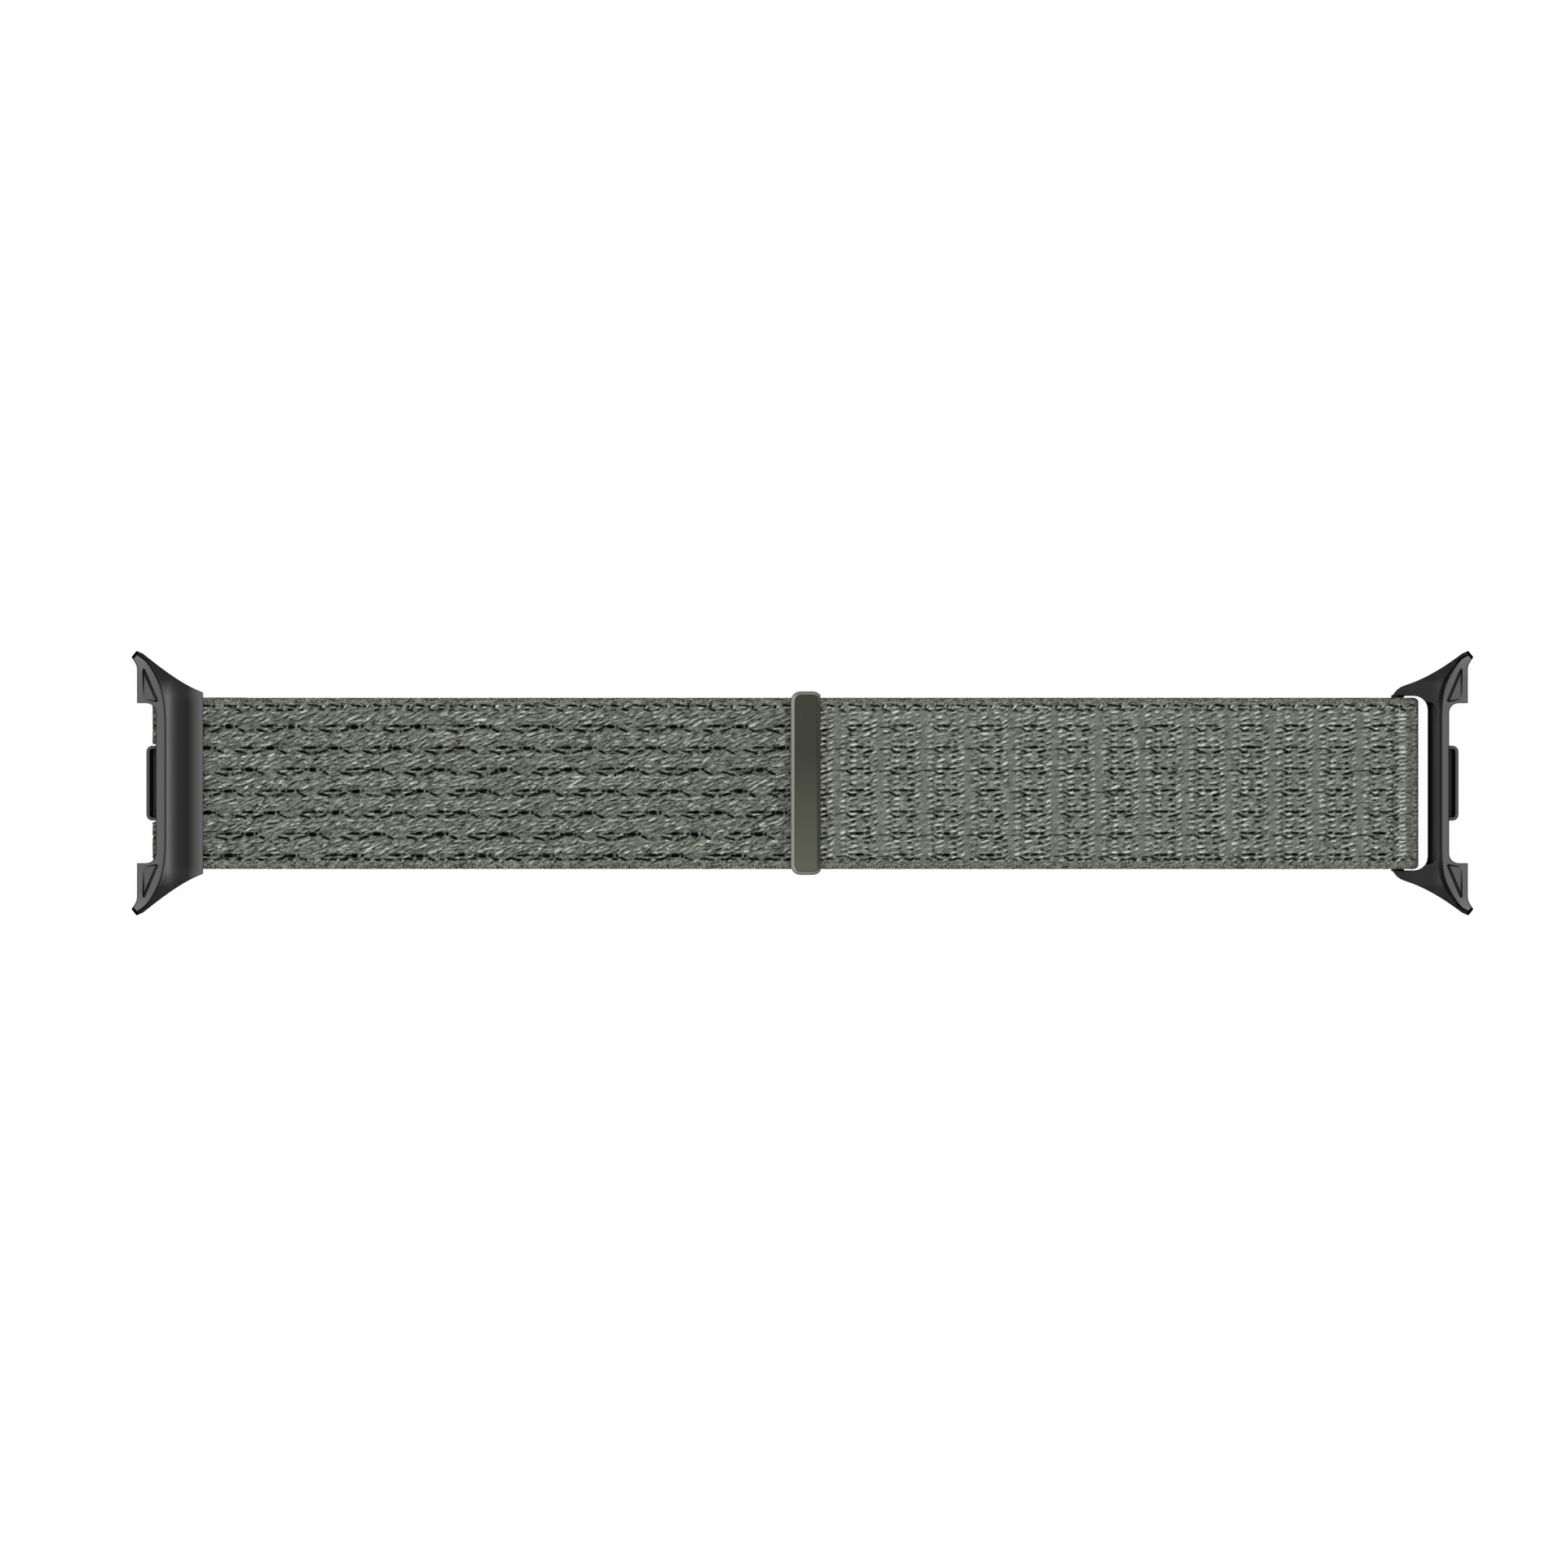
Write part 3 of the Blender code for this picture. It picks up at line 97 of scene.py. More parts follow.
# Webbing, as in the photograph
WEB_SHIFT = -0.03 * MM  # it lies this far to the near side
WEB_SPREAD = 0.02 * MM
WEB_EDGE = 0.5 * MM  # how far the round selvedge reaches in
FACE_SINK = 0.08 * MM  # the plain weave lies this far under the solid's face
EDGE_SINK = 0.06 * MM
EDGE_ROUGH = 0.03 * MM
EDGE_TONE = (0.3, 0.4)  # darkest, and how much lighter it gets

# The turn round the crossbar, where the webbing is fuller and its relief flatter
FOLD_PUFF = 0.12 * MM
FOLD_RELIEF = 0.15
# painted light, which lifts the tone of the turn where it faces away from the top lamp
FOLD_PAINTED_LIGHT = 0.1

# The tabs that wrap the left pins
TAB_PLAY = 0.03 * MM
TAB_OVERLAP = 0.3 * MM
TAB_STEP = 0.1 * MM  # how much thinner than the run they are where they meet it
TAB_RELIEF = 0.3
TAB_SHADE = -0.06
TAB_EDGE = 0.15 * MM
TAIL_LENGTH = 9.5 * MM
TAIL_THICK = 1.1 * MM
TAIL_THINNEST = 0.08 * MM
TAIL_LIFT = 0.15 * MM
TAIL_SETTLE = 3.1 * MM
TAIL_PLAY = 0.05 * MM  # to the run above

# Steps of the strips' meshes, along the webbing and round its edges and turns
STEP_FINE = 0.08 * MM
STEP_FEED = 0.16 * MM
STEP_COARSE = 0.2 * MM
EDGE_STEPS = 9
FEED_TURN = 40
BEND_TURN = 36
TAB_TURN = 50

# Tones run from 0 in a hole to 1 on a bright yarn
GROUND_TONE = 0.5

# What differs from yarn to yarn: how much in an even row, and how much more in a wild one
YARN_MISSING = (0.04, 0.14)
YARN_ALONG = (0.07 * MM, 0.3 * MM)
YARN_ACROSS = (0.04 * MM, 0.1 * MM)
YARN_LENGTH = (0.2, 0.35)
YARN_WIDTH = (0.2, 0.2)
YARN_DEGREES = (6, 9)
YARN_TONE = (0.08, 0.08)
YARN_HEIGHT = 0.1 * MM
YARN_UNEVEN = 0.04 * MM
YARN_GRAIN = 0.85
YARN_EDGE = 1.0  # above 1 a stroke has a sharper edge

# The thin shadow under a yarn
SHADE_ALONG = 0.06 * MM
SHADE_ACROSS = 0.05 * MM
SHADE_HALF = 0.09 * MM
SHADE_TONE = 0.15
SHADE_DEPTH = 0.12 * MM

# Gaps between the yarns, near black partly from the dark ground yarn and partly from painted
# shade in the hole, and the painted soft shade round each
GAP_ALONG = 0.08 * MM
GAP_ACROSS = 0.035 * MM
GAP_LENGTH = 0.2
GAP_WIDTH = 0.25
GAP_DEGREES = 3
GAP_DEPTH = 0.4 * MM
GAP_DARKNESS = 0.92
GAP_UNEVEN = 0.25
OVAL_UNEVEN = 0.1
GAP_FAINT = 0.7  # fainter ones are left out now and then
GAP_MISSING = 0.3
GAP_SMOOTH = 0.55
GAP_EDGE = 1.5
HALO = 0.11 * MM
HALO_DEPTH = 0.1 * MM
HALO_DARKNESS = 0.42
HALO_GRAIN = 0.9
HALO_EDGE = 0.8

# Face A of the weave: rows of dark dashes with large ovals
ROW_PITCH = 2.518 * MM
ROW_TOP = 6.6 * MM
ROWS = 7
CELL = 7.472 * MM  # one repeat along a row
CELL_PLAY = 0.12 * MM
OVAL_X = -59.87 * MM
# Its gaps in one repeat of a row, in mm: place along and across the row from the oval, half
# length and half width, then slant in degrees and darkness
GAPS_A = (
    (0.0, 0.0, 0.5, 0.22, 0, 1.0),
    (0.05, 0.01, 0.44, 0.21, 0, 1.0),
    (0.87, 0.03, 0.12, 0.18, 0, 0.9),
    (-0.72, 0.02, 0.2, 0.13, 0, 0.8),
    (1.55, -0.4, 0.46, 0.1, -25, 1.0),
    (2.6, -0.54, 0.5, 0.05, 0, 0.35),
    (4.0, -0.45, 0.78, 0.1, -12, 1.0),
    (4.55, -0.66, 0.14, 0.12, 0, 0.7),
    (4.75, 0.08, 0.82, 0.09, 3, 0.85),
    (5.0, 0.1, 0.42, 0.14, 3, 1.0),
    (5.87, 0.1, 0.2, 0.06, 0, 0.8),
    (5.47, -0.58, 0.12, 0.13, 0, 0.7),
    (6.17, -0.38, 0.6, 0.1, 18, 1.0),
)
# Its floats: place along and across, half length, half width, slant and tone
YARNS_A = (
    (1.85, -0.88, 0.4, 0.12, 4, 0.84),
    (3.1, -0.86, 0.33, 0.12, 12, 0.78),
    (4.37, -0.2, 0.42, 0.1, 8, 0.86),
    (5.92, -0.13, 0.46, 0.1, 12, 0.82),
    (6.75, -0.7, 0.35, 0.11, 22, 0.76),
    (4.1, -1.66, 0.26, 0.13, -38, 0.84),
    (3.8, -1.55, 0.24, 0.12, 20, 0.8),
    (2.3, -0.22, 0.33, 0.11, 15, 0.74),
)
# Its wild floats, which fill the rows in four tiers
TIERS_A = ((0.0, -0.86), (0.348, -1.26), (0.696, -1.66), (1.044, -2.06))
WILD_PITCH = 1.16 * MM
WILD_A = (0.52, 0.15, 21, 0.77, 1)

# Face B: ribs across the webbing, with groups of gaps between them
RIB_PITCH = 5.1 * MM
RIB_X = 16.86 * MM
RIB_ROW_TOP = 6.72 * MM
RIB_TIERS = 4  # floats of a rib in one row
RIB_OFFSET = 0.55  # of a tier, from the row's gaps to its first float
RIB_BEYOND = (6, 2)  # tiers before the first row and after the last
FACE_B_LIFT = 0.045
GAPS_B = (
    (0.02, 0.0, 0.5, 0.11, 1, 1.0),
    (-0.9, 0.02, 0.3, 0.07, 0, 0.9),
    (1.02, 0.0, 0.25, 0.08, 0, 0.7),
    (1.04, -0.5, 0.55, 0.09, 13, 0.95),
    (-0.73, -0.6, 0.45, 0.06, 3, 0.85),
    (-1.15, -0.42, 0.42, 0.07, -25, 0.9),
    (3.03, -0.19, 0.75, 0.05, 6, 0.6),
    (0.8, -1.1, 0.3, 0.13, 0, 0.5),
    (-0.9, -1.15, 0.2, 0.08, 5, 0.6),
    (-1.0, -1.83, 0.18, 0.08, 0, 0.6),
    (-0.37, -1.8, 0.17, 0.09, 0, 0.55),
    (1.04, -1.9, 0.19, 0.08, 0, 0.8),
    (1.65, -0.88, 0.25, 0.06, 15, 0.5),
)
YARNS_B = (
    (-0.73, 0.02, 0.5, 0.17, 12, 0.88),
    (0.76, 0.02, 0.48, 0.16, 14, 0.85),
    (1.78, 0.33, 0.38, 0.16, 24, 0.86),
    (3.23, -0.24, 0.4, 0.19, 10, 0.82),
)
DOTS_B = ((-1.63, 0.14, 0.13, 0.05, 0, 0.4), (3.56, 0.2, 0.16, 0.05, 5, 0.4))
# The smooth rib of each group: place, half width, edge, and what it takes of grain and tone
CALM_PLACE = 2.45 * MM
CALM_HALF = 0.36 * MM
CALM_EDGE = 1.5
CALM_GRAIN = 0.45
CALM_TONE = 0.5

# Bands of the turn: place from the crossbar and half width in mm, and change of tone
FOLD_BANDS = ((-0.25, 0.3, -0.1), (0.62, 0.42, 0.09), (1.5, 0.3, -0.12), (2.45, 0.4, 0.05))
FOLD_BAND_EDGE = 1.6
FOLD_BAND_HEIGHT = 0.3 * MM  # for each step of tone
FOLD_WOBBLE = 0.1 * MM
# Its columns of floats: place, half length and the rest as above, then how wild they are
FOLD_COLUMNS = ((0.62, 0.5, 0.21, 6, 0.88, 0.1), (-0.85, 0.22, 0.16, 6, 0.74, 0.3),
                (2.6, 0.45, 0.18, 6, 0.74, 0.3))
FOLD_SPAN = (-8.8, 8.9, 0.48)  # places across: from, to and pitch, in mm
# Past the bands the front of the turn is even
FRONT_START = 0.9 * MM
FRONT_FADE = 0.3 * MM
FRONT_TONE = 0.55
FRONT_GRAIN = 0.35

# Selvedges: plain and dense, with a line of gaps. Places are from that line, in mm.
SELVEDGE_LINE = 9.07 * MM
SELVEDGE_PITCH = 2.53 * MM
SELVEDGE_BLEND = 0.1 * MM
SELVEDGE_LIFT = 0.02 * MM
SELVEDGE_ROUGH = 0.1 * MM
SELVEDGE_TONE = (0.28, 0.5)  # darkest, and how much lighter it gets
# The last value of a gap is how much its darkness differs
FAR_GAPS = (
    (0.0, 0.0, 0.62, 0.08, -8, 1.0, 0),
    (1.2, -0.5, 0.42, 0.09, -14, 0.7, 0.3),
    (-0.1, -0.52, 0.3, 0.09, 8, 0.5, 0.4),
    (1.0, -0.1, 0.12, 0.16, 0, 0.8, 0),
)
FAR_YARNS = ((1.3, -0.12, 0.3, 0.14, 42, 0.9), (-0.2, -0.24, 0.36, 0.13, 10, 0.84))
NEAR_GAPS = ((0.0, 0.16, 0.3, 0.08, -4, 0.75, 0.2),)
NEAR_YARNS = ((0.6, 0.0, 0.22, 0.12, 40, 0.82),)

# Starts of the random draws
FACE_SEED = 11
EDGE_SEED = 5
HOOK_SEED = 21

# Hooks of the pad
PAD_SHEET = 0.16 * MM
PAD_CORNER = 2.0 * MM
CORNER_STEPS = 8
HOOK_ROOT = 0.03 * MM  # how deep a stem sits in the sheet
HOOK_REACH = 0.02 * MM
HOOK_EDGE = 0.6 * MM
HOOK_PITCH = (0.9 * MM, 0.7 * MM)
HOOK_PLAY = 0.05 * MM
HOOK_RADIUS = 0.05 * MM
HOOK_SIDES = 6
# One hook's middle line: place along the strap, and share of its height from the sheet
HOOK_LINE = ((0, 0), (0, 0.35), (0.02 * MM, 0.7), (0.1 * MM, 1), (0.19 * MM, 0.95),
             (0.23 * MM, 0.7))

SPRING_WIRE = 0.16 * MM
SPRING_TURNS = 5
SPRING_STEPS = 24  # of one turn
SPRING_SIDES = 10

# The sheet of painted shade in the seam under the latch's tray, from the bolt's lip
SEAM_SHADE_BEFORE = 0.22 * MM
SEAM_SHADE_DEPTH = 0.3 * MM
SEAM_SHADE_ENDS = 0.3 * MM
SEAM_SHADE_TALL = 0.04 * MM

# Skin of the connectors, and where their curved tops are evened out: high and fairly level
SKIN_VOXEL = 0.062 * MM
SKIN_SMOOTHING = 5
SKIN_ABOVE = 0.1 * MM
SKIN_BLEND = 0.1 * MM
SKIN_ROUNDS = 240
FLAT_ENOUGH = (0.84, 0.92)
# Soft edges of the latches' solids
EDGE_WIDTH = 0.06 * MM
BOLT_EDGE_WIDTH = 0.04 * MM

# Look of the nylon, from its gaps to its brightest yarns, and how the fibres run
NYLON = (
    (0.0, (0.0006, 0.0008, 0.0004)), (0.2, (0.013, 0.0145, 0.0105)),
    (0.35, (0.059, 0.063, 0.051)), (0.5, (0.162, 0.171, 0.141)), (0.65, (0.26, 0.273, 0.228)),
    (0.8, (0.4, 0.418, 0.36)), (1.0, (0.82, 0.84, 0.77)))
FIBRE_SLANT = math.radians(-20)
FIBRE_STRETCH = (0.4, 1, 1)
HOOK_NYLON = ((0.3, (0.045, 0.05, 0.04)), (0.7, (0.075, 0.08, 0.065)))

# Look of the black coating, with painted light and shade for its reflections. Pairs are where a
# change starts and ends: by height, by the distance across from the middle, or by how level the
# surface is.
BLACK_COAT = ((0.15, (0.044, 0.044, 0.0445)), (0.45, (0.05, 0.05, 0.0505)))
STEP_HEIGHT = 1.0 * MM  # from the rim to the cover's top
ABOVE_RIM = (0.03 * MM, 0.12 * MM)
RAISED_SLOPE = (0.99, 0.96)
HORN_SHADE = (10.3 * MM, 12.2 * MM)
LEVEL_SLOPE = (0.9, 0.98)
STEEP_SLOPE = (0.9, 0.62)
TIP_SHINE = (12.6 * MM, 14.8 * MM)
TIP_SLOPE = (0.985, 0.93)
TIP_PAINTED_SHADE = (14.0 * MM, 14.3 * MM)
WALL_SLOPE = (0.8, 0.5)
WALL_FACING = (0.0, 0.3)
# painted highlight near the tips, and painted shade on raised, level, steep and tip faces
SHINE_GAIN = 0.4
RAISED_SHADE_LOSS = 0.5
LEVEL_LOSS = 0.5
TIP_LOSS = 0.9
EDGE_TINT = (0.3, 0.3, 0.3, 1)  # keeps walls seen at a low angle dark
# Painted reflection bands: tone of the left cover by the distance from the strap's middle, in mm,
# and how far it reaches
COVER_REFLECTION_BANDS = ((74.45, 1.0), (74.3, 1.3), (74.0, 1.05), (73.2, 0.7), (72.8, 0.56), (72.3, 0.46),
               (72.02, 0.3), (71.4, 0.47), (70.9, 0.7), (70.45, 1.02), (70.2, 1.1))
BANDS_REACH = (13.0 * MM, 9.5 * MM)

TRAY_COAT = ((0.0, (0.002,) * 3), (0.7, (0.004,) * 3), (0.85, (0.04,) * 3))
BOLT_COAT = (0.02, 0.02, 0.0202, 1)
STEEL = (0.42, 0.42, 0.43)
SPRING_STEEL = (0.35, 0.35, 0.36)
STEEL_LINES = 0.85  # tone of the dark ones

# Look of the clasp: the plate from far to near, lighter towards the near end with painted
# reflection, and the polished chamfer with a painted highlight by the way it faces, from the free
# end to the mouth. The chamfer's lines go by height, over its slope.
PLATE = ((0.35, (0.02, 0.0207, 0.0157)), (0.95, (0.042, 0.0435, 0.0335)))
CHAMFER = ((0.0, (0.36, 0.365, 0.325)), (0.3, (0.2, 0.205, 0.165)), (0.7, (0.18, 0.185, 0.15)),
           (1.0, (0.14, 0.143, 0.115)))
CHAMFER_FACING = 0.7
CHAMFER_SLOPE = 0.45 * MM
CHAMFER_LINES = ((0.0, (0.1,) * 3), (0.1, (0.5,) * 3), (0.3, (1,) * 3), (0.84, (1,) * 3),
                 (0.9, (0.03,) * 3), (0.97, (0.03,) * 3))
PLATE_BELOW = (0.012 * MM, 0.004 * MM)  # of its top, where the plate's look starts and ends


def lerp(a, b, t):
    """The value a share t of the way from a to b."""
    return a + (b - a) * t


def ease(t):
    """Smooth step from 0 to 1 with level ends."""
    return (1 - np.cos(np.pi * np.clip(t, 0, 1))) / 2


def given(made, **settings):
    """Gives a new thing its settings and returns it."""
    for key, value in settings.items():
        setattr(made, key, value)
    return made


def placed(name, data, place=(0, 0, 0)):
    """A new object in the scene."""
    obj = given(bpy.data.objects.new(name, data), location=place)
    bpy.context.scene.collection.objects.link(obj)
    return obj


# The weave

class Weave:
    """Height, tone and grain of one face of the webbing, over a grid of places."""

    def __init__(self, along, across, seed):
        self.along = along
        self.across = across
        self.random = np.random.default_rng(seed)
        shape = (len(along), len(across))
        self.height = np.zeros(shape)
        self.tone = np.full(shape, GROUND_TONE)
        self.grain = np.ones(shape)
        self.order = np.argsort(along)
        self.sorted_along = along[self.order]

    def jitter(self, size):
        """A random step of up to this size either way."""
        return self.random.uniform(-size, size)

    def vary(self, amounts, wild):
        """A random step that is larger in a wild row."""
        return self.jitter(amounts[0] + amounts[1] * wild)

    def repeats(self, start, pitch):
        """Numbers of the repeats along this face, with one to spare at each end."""
        first = math.floor((self.sorted_along[0] - start) / pitch)
        last = math.ceil((self.sorted_along[-1] - start) / pitch)
        return range(first - 1, last + 1)

    def window(self, q, y, reach):
        """The part of the grid within reach of a place, and its distances from there."""
        a = np.searchsorted(self.sorted_along, q - reach)
        b = np.searchsorted(self.sorted_along, q + reach)
        rows = self.order[a:b]
        columns = np.flatnonzero(np.abs(self.across - y) < reach)
        if not len(rows) or not len(columns):
            return None
        rows = slice(rows.min(), rows.max() + 1)
        columns = slice(columns[0], columns[-1] + 1)
        u = self.along[rows][:, None] - q
        v = self.across[columns][None, :] - y
        return (rows, columns), u, v

    def stroke(self, q, y, half_length, half_width, slant, tone, lift, grain=YARN_GRAIN,
               sharp=YARN_EDGE):
        """A slanting spot with blunt ends that draws the face to its own height and tone."""
        found = self.window(q, y, half_length + half_width)
        if not found:
            return
        where, u, v = found
        c, s = math.cos(slant), math.sin(slant)
        along = (u * c + v * s) / half_length
        across = (v * c - u * s) / half_width
        share = np.clip(sharp * (1 - along ** 4 - across ** 2), 0, 1)
        self.height[where] = lerp(self.height[where], lift, share)
        self.tone[where] = lerp(self.tone[where], tone, share)
        self.grain[where] = lerp(self.grain[where], grain, share)

    def yarn(self, q, y, half_length, half_width, degrees, tone, wild=0.3):
        """A bright float with a thin shadow under it, left out now and then."""
        if self.random.random() < YARN_MISSING[0] + YARN_MISSING[1] * wild:
            return
        q += self.vary(YARN_ALONG, wild)
        y += self.vary(YARN_ACROSS, wild)
        long = half_length * MM * (1 + self.vary(YARN_LENGTH, wild))
        wide = half_width * MM * (1 + self.vary(YARN_WIDTH, wild))
        slant = math.radians(degrees + self.vary(YARN_DEGREES, wild))
        self.stroke(q + SHADE_ALONG, y - wide - SHADE_ACROSS, long, SHADE_HALF, slant,
                    GROUND_TONE - SHADE_TONE + self.jitter(SHADE_TONE), -SHADE_DEPTH)
        self.stroke(q, y, long, wide, slant, tone + self.vary(YARN_TONE, wild),
                    YARN_HEIGHT + self.jitter(YARN_UNEVEN))

    def gap(self, q, y, half_length, half_width, degrees, dark, varies=0):
        """A hole showing the dark ground yarn, with painted shade in it and round it."""
        if varies:
            dark += self.jitter(varies)
        if dark < GAP_FAINT and self.random.random() < GAP_MISSING:
            return
        q += self.jitter(GAP_ALONG)
        y += self.jitter(GAP_ACROSS)
        long = half_length * MM * (1 + self.jitter(GAP_LENGTH))
        wide = half_width * MM * (1 + self.jitter(GAP_WIDTH))
        dark *= GAP_DARKNESS + self.jitter(OVAL_UNEVEN if dark == 1 else GAP_UNEVEN)
        dark = min(dark, 1)
        slant = math.radians(degrees + self.jitter(GAP_DEGREES))
        # painted shade round the hole, then the hole, near black from ground yarn and painted
        # shade
        self.stroke(q, y, long + HALO, wide + HALO, slant,
                    GROUND_TONE * (1 - HALO_DARKNESS * dark), -HALO_DEPTH * dark,
                    HALO_GRAIN, HALO_EDGE)
        self.stroke(q, y, long, wide, slant, GROUND_TONE * (1 - dark), -GAP_DEPTH * dark,
                    1 - GAP_SMOOTH * dark, GAP_EDGE)

    def draw(self, stroke, table, q, y):
        """Draws each line of a table, whose places in mm count from q and y."""
        for along, across, *rest in table:
            stroke(q + along * MM, y + across * MM, *rest)


def face_a(weave):
    """Rows of gaps with large ovals, and slanting floats between them."""
    for row in range(-1, ROWS + 1):
        level = ROW_TOP - row * ROW_PITCH
        start = OVAL_X - row * CELL / 3
        for i in weave.repeats(start, WILD_PITCH):
            for along, across in TIERS_A:
                weave.yarn(start + i * WILD_PITCH + along * MM, level + across * MM, *WILD_A)
        if row < 0 or row >= ROWS:
            continue
        for i in weave.repeats(start, CELL):
            origin = start + i * CELL + weave.jitter(CELL_PLAY)
            weave.draw(weave.yarn, YARNS_A, origin, level)
            weave.draw(weave.gap, GAPS_A, origin, level)


def face_b(weave):
    """Ribs across the webbing, with groups of gaps between them."""
    weave.tone += FACE_B_LIFT
    for i in weave.repeats(RIB_X, RIB_PITCH):
        centre = RIB_X + i * RIB_PITCH
        for k in range(-RIB_BEYOND[0], RIB_TIERS * ROWS + RIB_BEYOND[1]):
            y = RIB_ROW_TOP - (k + RIB_OFFSET) * ROW_PITCH / RIB_TIERS
            weave.draw(weave.yarn, YARNS_B, centre, y)
            weave.draw(weave.gap, DOTS_B, centre, y)
        off = np.abs(weave.along - centre - CALM_PLACE)
        calm = np.clip(CALM_EDGE - off / CALM_HALF, 0, 1)[:, None]
        weave.grain = np.minimum(weave.grain, 1 - CALM_GRAIN * calm)
        weave.tone = lerp(weave.tone, GROUND_TONE + FACE_B_LIFT / 2, CALM_TONE * calm)
        for row in range(ROWS):
            weave.draw(weave.gap, GAPS_B, centre, RIB_ROW_TOP - row * ROW_PITCH)


def fold_bands(weave):
    """Lighter and darker bands where the webbing turns over the crossbar."""
    bar_x = bar_place()[0]
    wobble = weave.random.uniform(-FOLD_WOBBLE, FOLD_WOBBLE, len(weave.across))
    wobble = (wobble + np.roll(wobble, 1) + np.roll(wobble, 2)) / 2
    for place, half, change in FOLD_BANDS:
        off = np.abs(weave.along[:, None] - bar_x - place * MM + wobble[None, :])
        share = np.clip(FOLD_BAND_EDGE - off / (half * MM), 0, 1)
        weave.tone += change * share * np.clip(weave.tone / GROUND_TONE, 0, 1)
        weave.height += FOLD_BAND_HEIGHT * change * share
    front = np.clip((weave.along - bar_x - FRONT_START) / FRONT_FADE, 0, 1)[:, None]
    weave.tone = lerp(weave.tone, GROUND_TONE, FRONT_TONE * front)
    weave.grain *= 1 - FRONT_GRAIN * front
    for y in np.arange(*FOLD_SPAN) * MM:
        for place, *column in FOLD_COLUMNS:
            weave.yarn(bar_x + place * MM, y, *column)


def selvedges(weave):
    """Plain dense edges with a row of dark gaps along each."""
    edge = np.abs(weave.across)[None, :]
    share = np.clip((edge - SELVEDGE_LINE) / SELVEDGE_BLEND, 0, 1)
    grain = weave.random.uniform(0, 1, weave.height.shape)
    grain = (grain + np.roll(grain, 1, 0)) / 2
    weave.height = lerp(weave.height, SELVEDGE_LIFT + SELVEDGE_ROUGH * grain, share)
    weave.tone = lerp(weave.tone, SELVEDGE_TONE[0] + SELVEDGE_TONE[1] * grain, share)
    for i in weave.repeats(OVAL_X, SELVEDGE_PITCH):
        q = OVAL_X + i * SELVEDGE_PITCH
        weave.draw(weave.gap, FAR_GAPS, q, SELVEDGE_LINE)
        weave.draw(weave.yarn, FAR_YARNS, q, SELVEDGE_LINE)
        for shift in (0, SELVEDGE_PITCH / 2):
            weave.draw(weave.gap, NEAR_GAPS, q + shift, -SELVEDGE_LINE)
            weave.draw(weave.yarn, NEAR_YARNS, q + shift, -SELVEDGE_LINE)


# The patterns of the webbing's faces, each drawn in this order
WOVEN_A = (face_a, selvedges)
WOVEN_B = (face_b, selvedges)
WOVEN_FOLD = (face_b, fold_bands, selvedges)


# Strips of webbing

class Path:
    """A line in XZ for a strip of webbing or a hook to follow.

    normal points to the outer face, and thick is the webbing's thickness. q_outer and q_inner
    are the places along the patterns of the two faces. All are arrays along the line.
    """

    def __init__(self, x, z, normal, thick, q_outer=None, q_inner=None):
        self.x, self.z = x, z
        self.nx, self.nz = normal
        self.thick = np.broadcast_to(thick, x.shape)
        self.q_outer = q_outer
        self.q_inner = q_outer if q_inner is None else q_inner

    def points(self, offset, y):
        """Points beside the line, where offset leads towards the outer face."""
        return np.stack([self.x[:, None] + self.nx[:, None] * offset,
                         np.broadcast_to(y, offset.shape),
                         self.z[:, None] + self.nz[:, None] * offset], axis=2)


def normals_of(x, z):
    """Unit normals of a line in XZ, to the left of its direction."""
    dx, dz = np.gradient(x), np.gradient(z)
    size = np.hypot(dx, dz)
    return np.stack([-dz / size, dx / size])


def woven_face(path, q, sign, across, pattern, seed, relief):
    """One face of a strip: its points, tone, grain and places for the fibres' texture."""
    weave = Weave(q, across, seed)
    for part in pattern:
        part(weave)
    offset = sign * (path.thick[:, None] / 2 - FACE_SINK + weave.height * relief)
    points = path.points(offset, across)
    places = np.stack([np.broadcast_to(q[:, None], offset.shape), points[..., 1],
                       np.full(offset.shape, sign * WEB_THICK)], axis=2)
    return points, weave.tone, weave.grain, places


def round_edge(path, q, sign, half, edge, centre_y, seed):
    """The selvedge that leads from one face to the other, with the same four arrays."""
    rng = np.random.default_rng(seed)
    turn = np.linspace(0, np.pi, EDGE_STEPS + 2)[1:-1]
    rise = sign * np.cos(turn) * (path.thick[:, None] / 2 - EDGE_SINK)
    bulge = edge * np.sin(turn) + rng.uniform(-EDGE_ROUGH, EDGE_ROUGH, rise.shape)
    points = path.points(rise, centre_y - sign * (half - edge + bulge))
    tone = EDGE_TONE[0] + rng.uniform(0, EDGE_TONE[1], rise.shape)
    places = np.stack([np.broadcast_to(q[:, None], rise.shape), points[..., 1],
                       points[..., 2]], axis=2)
    return points, tone, np.ones(rise.shape), places


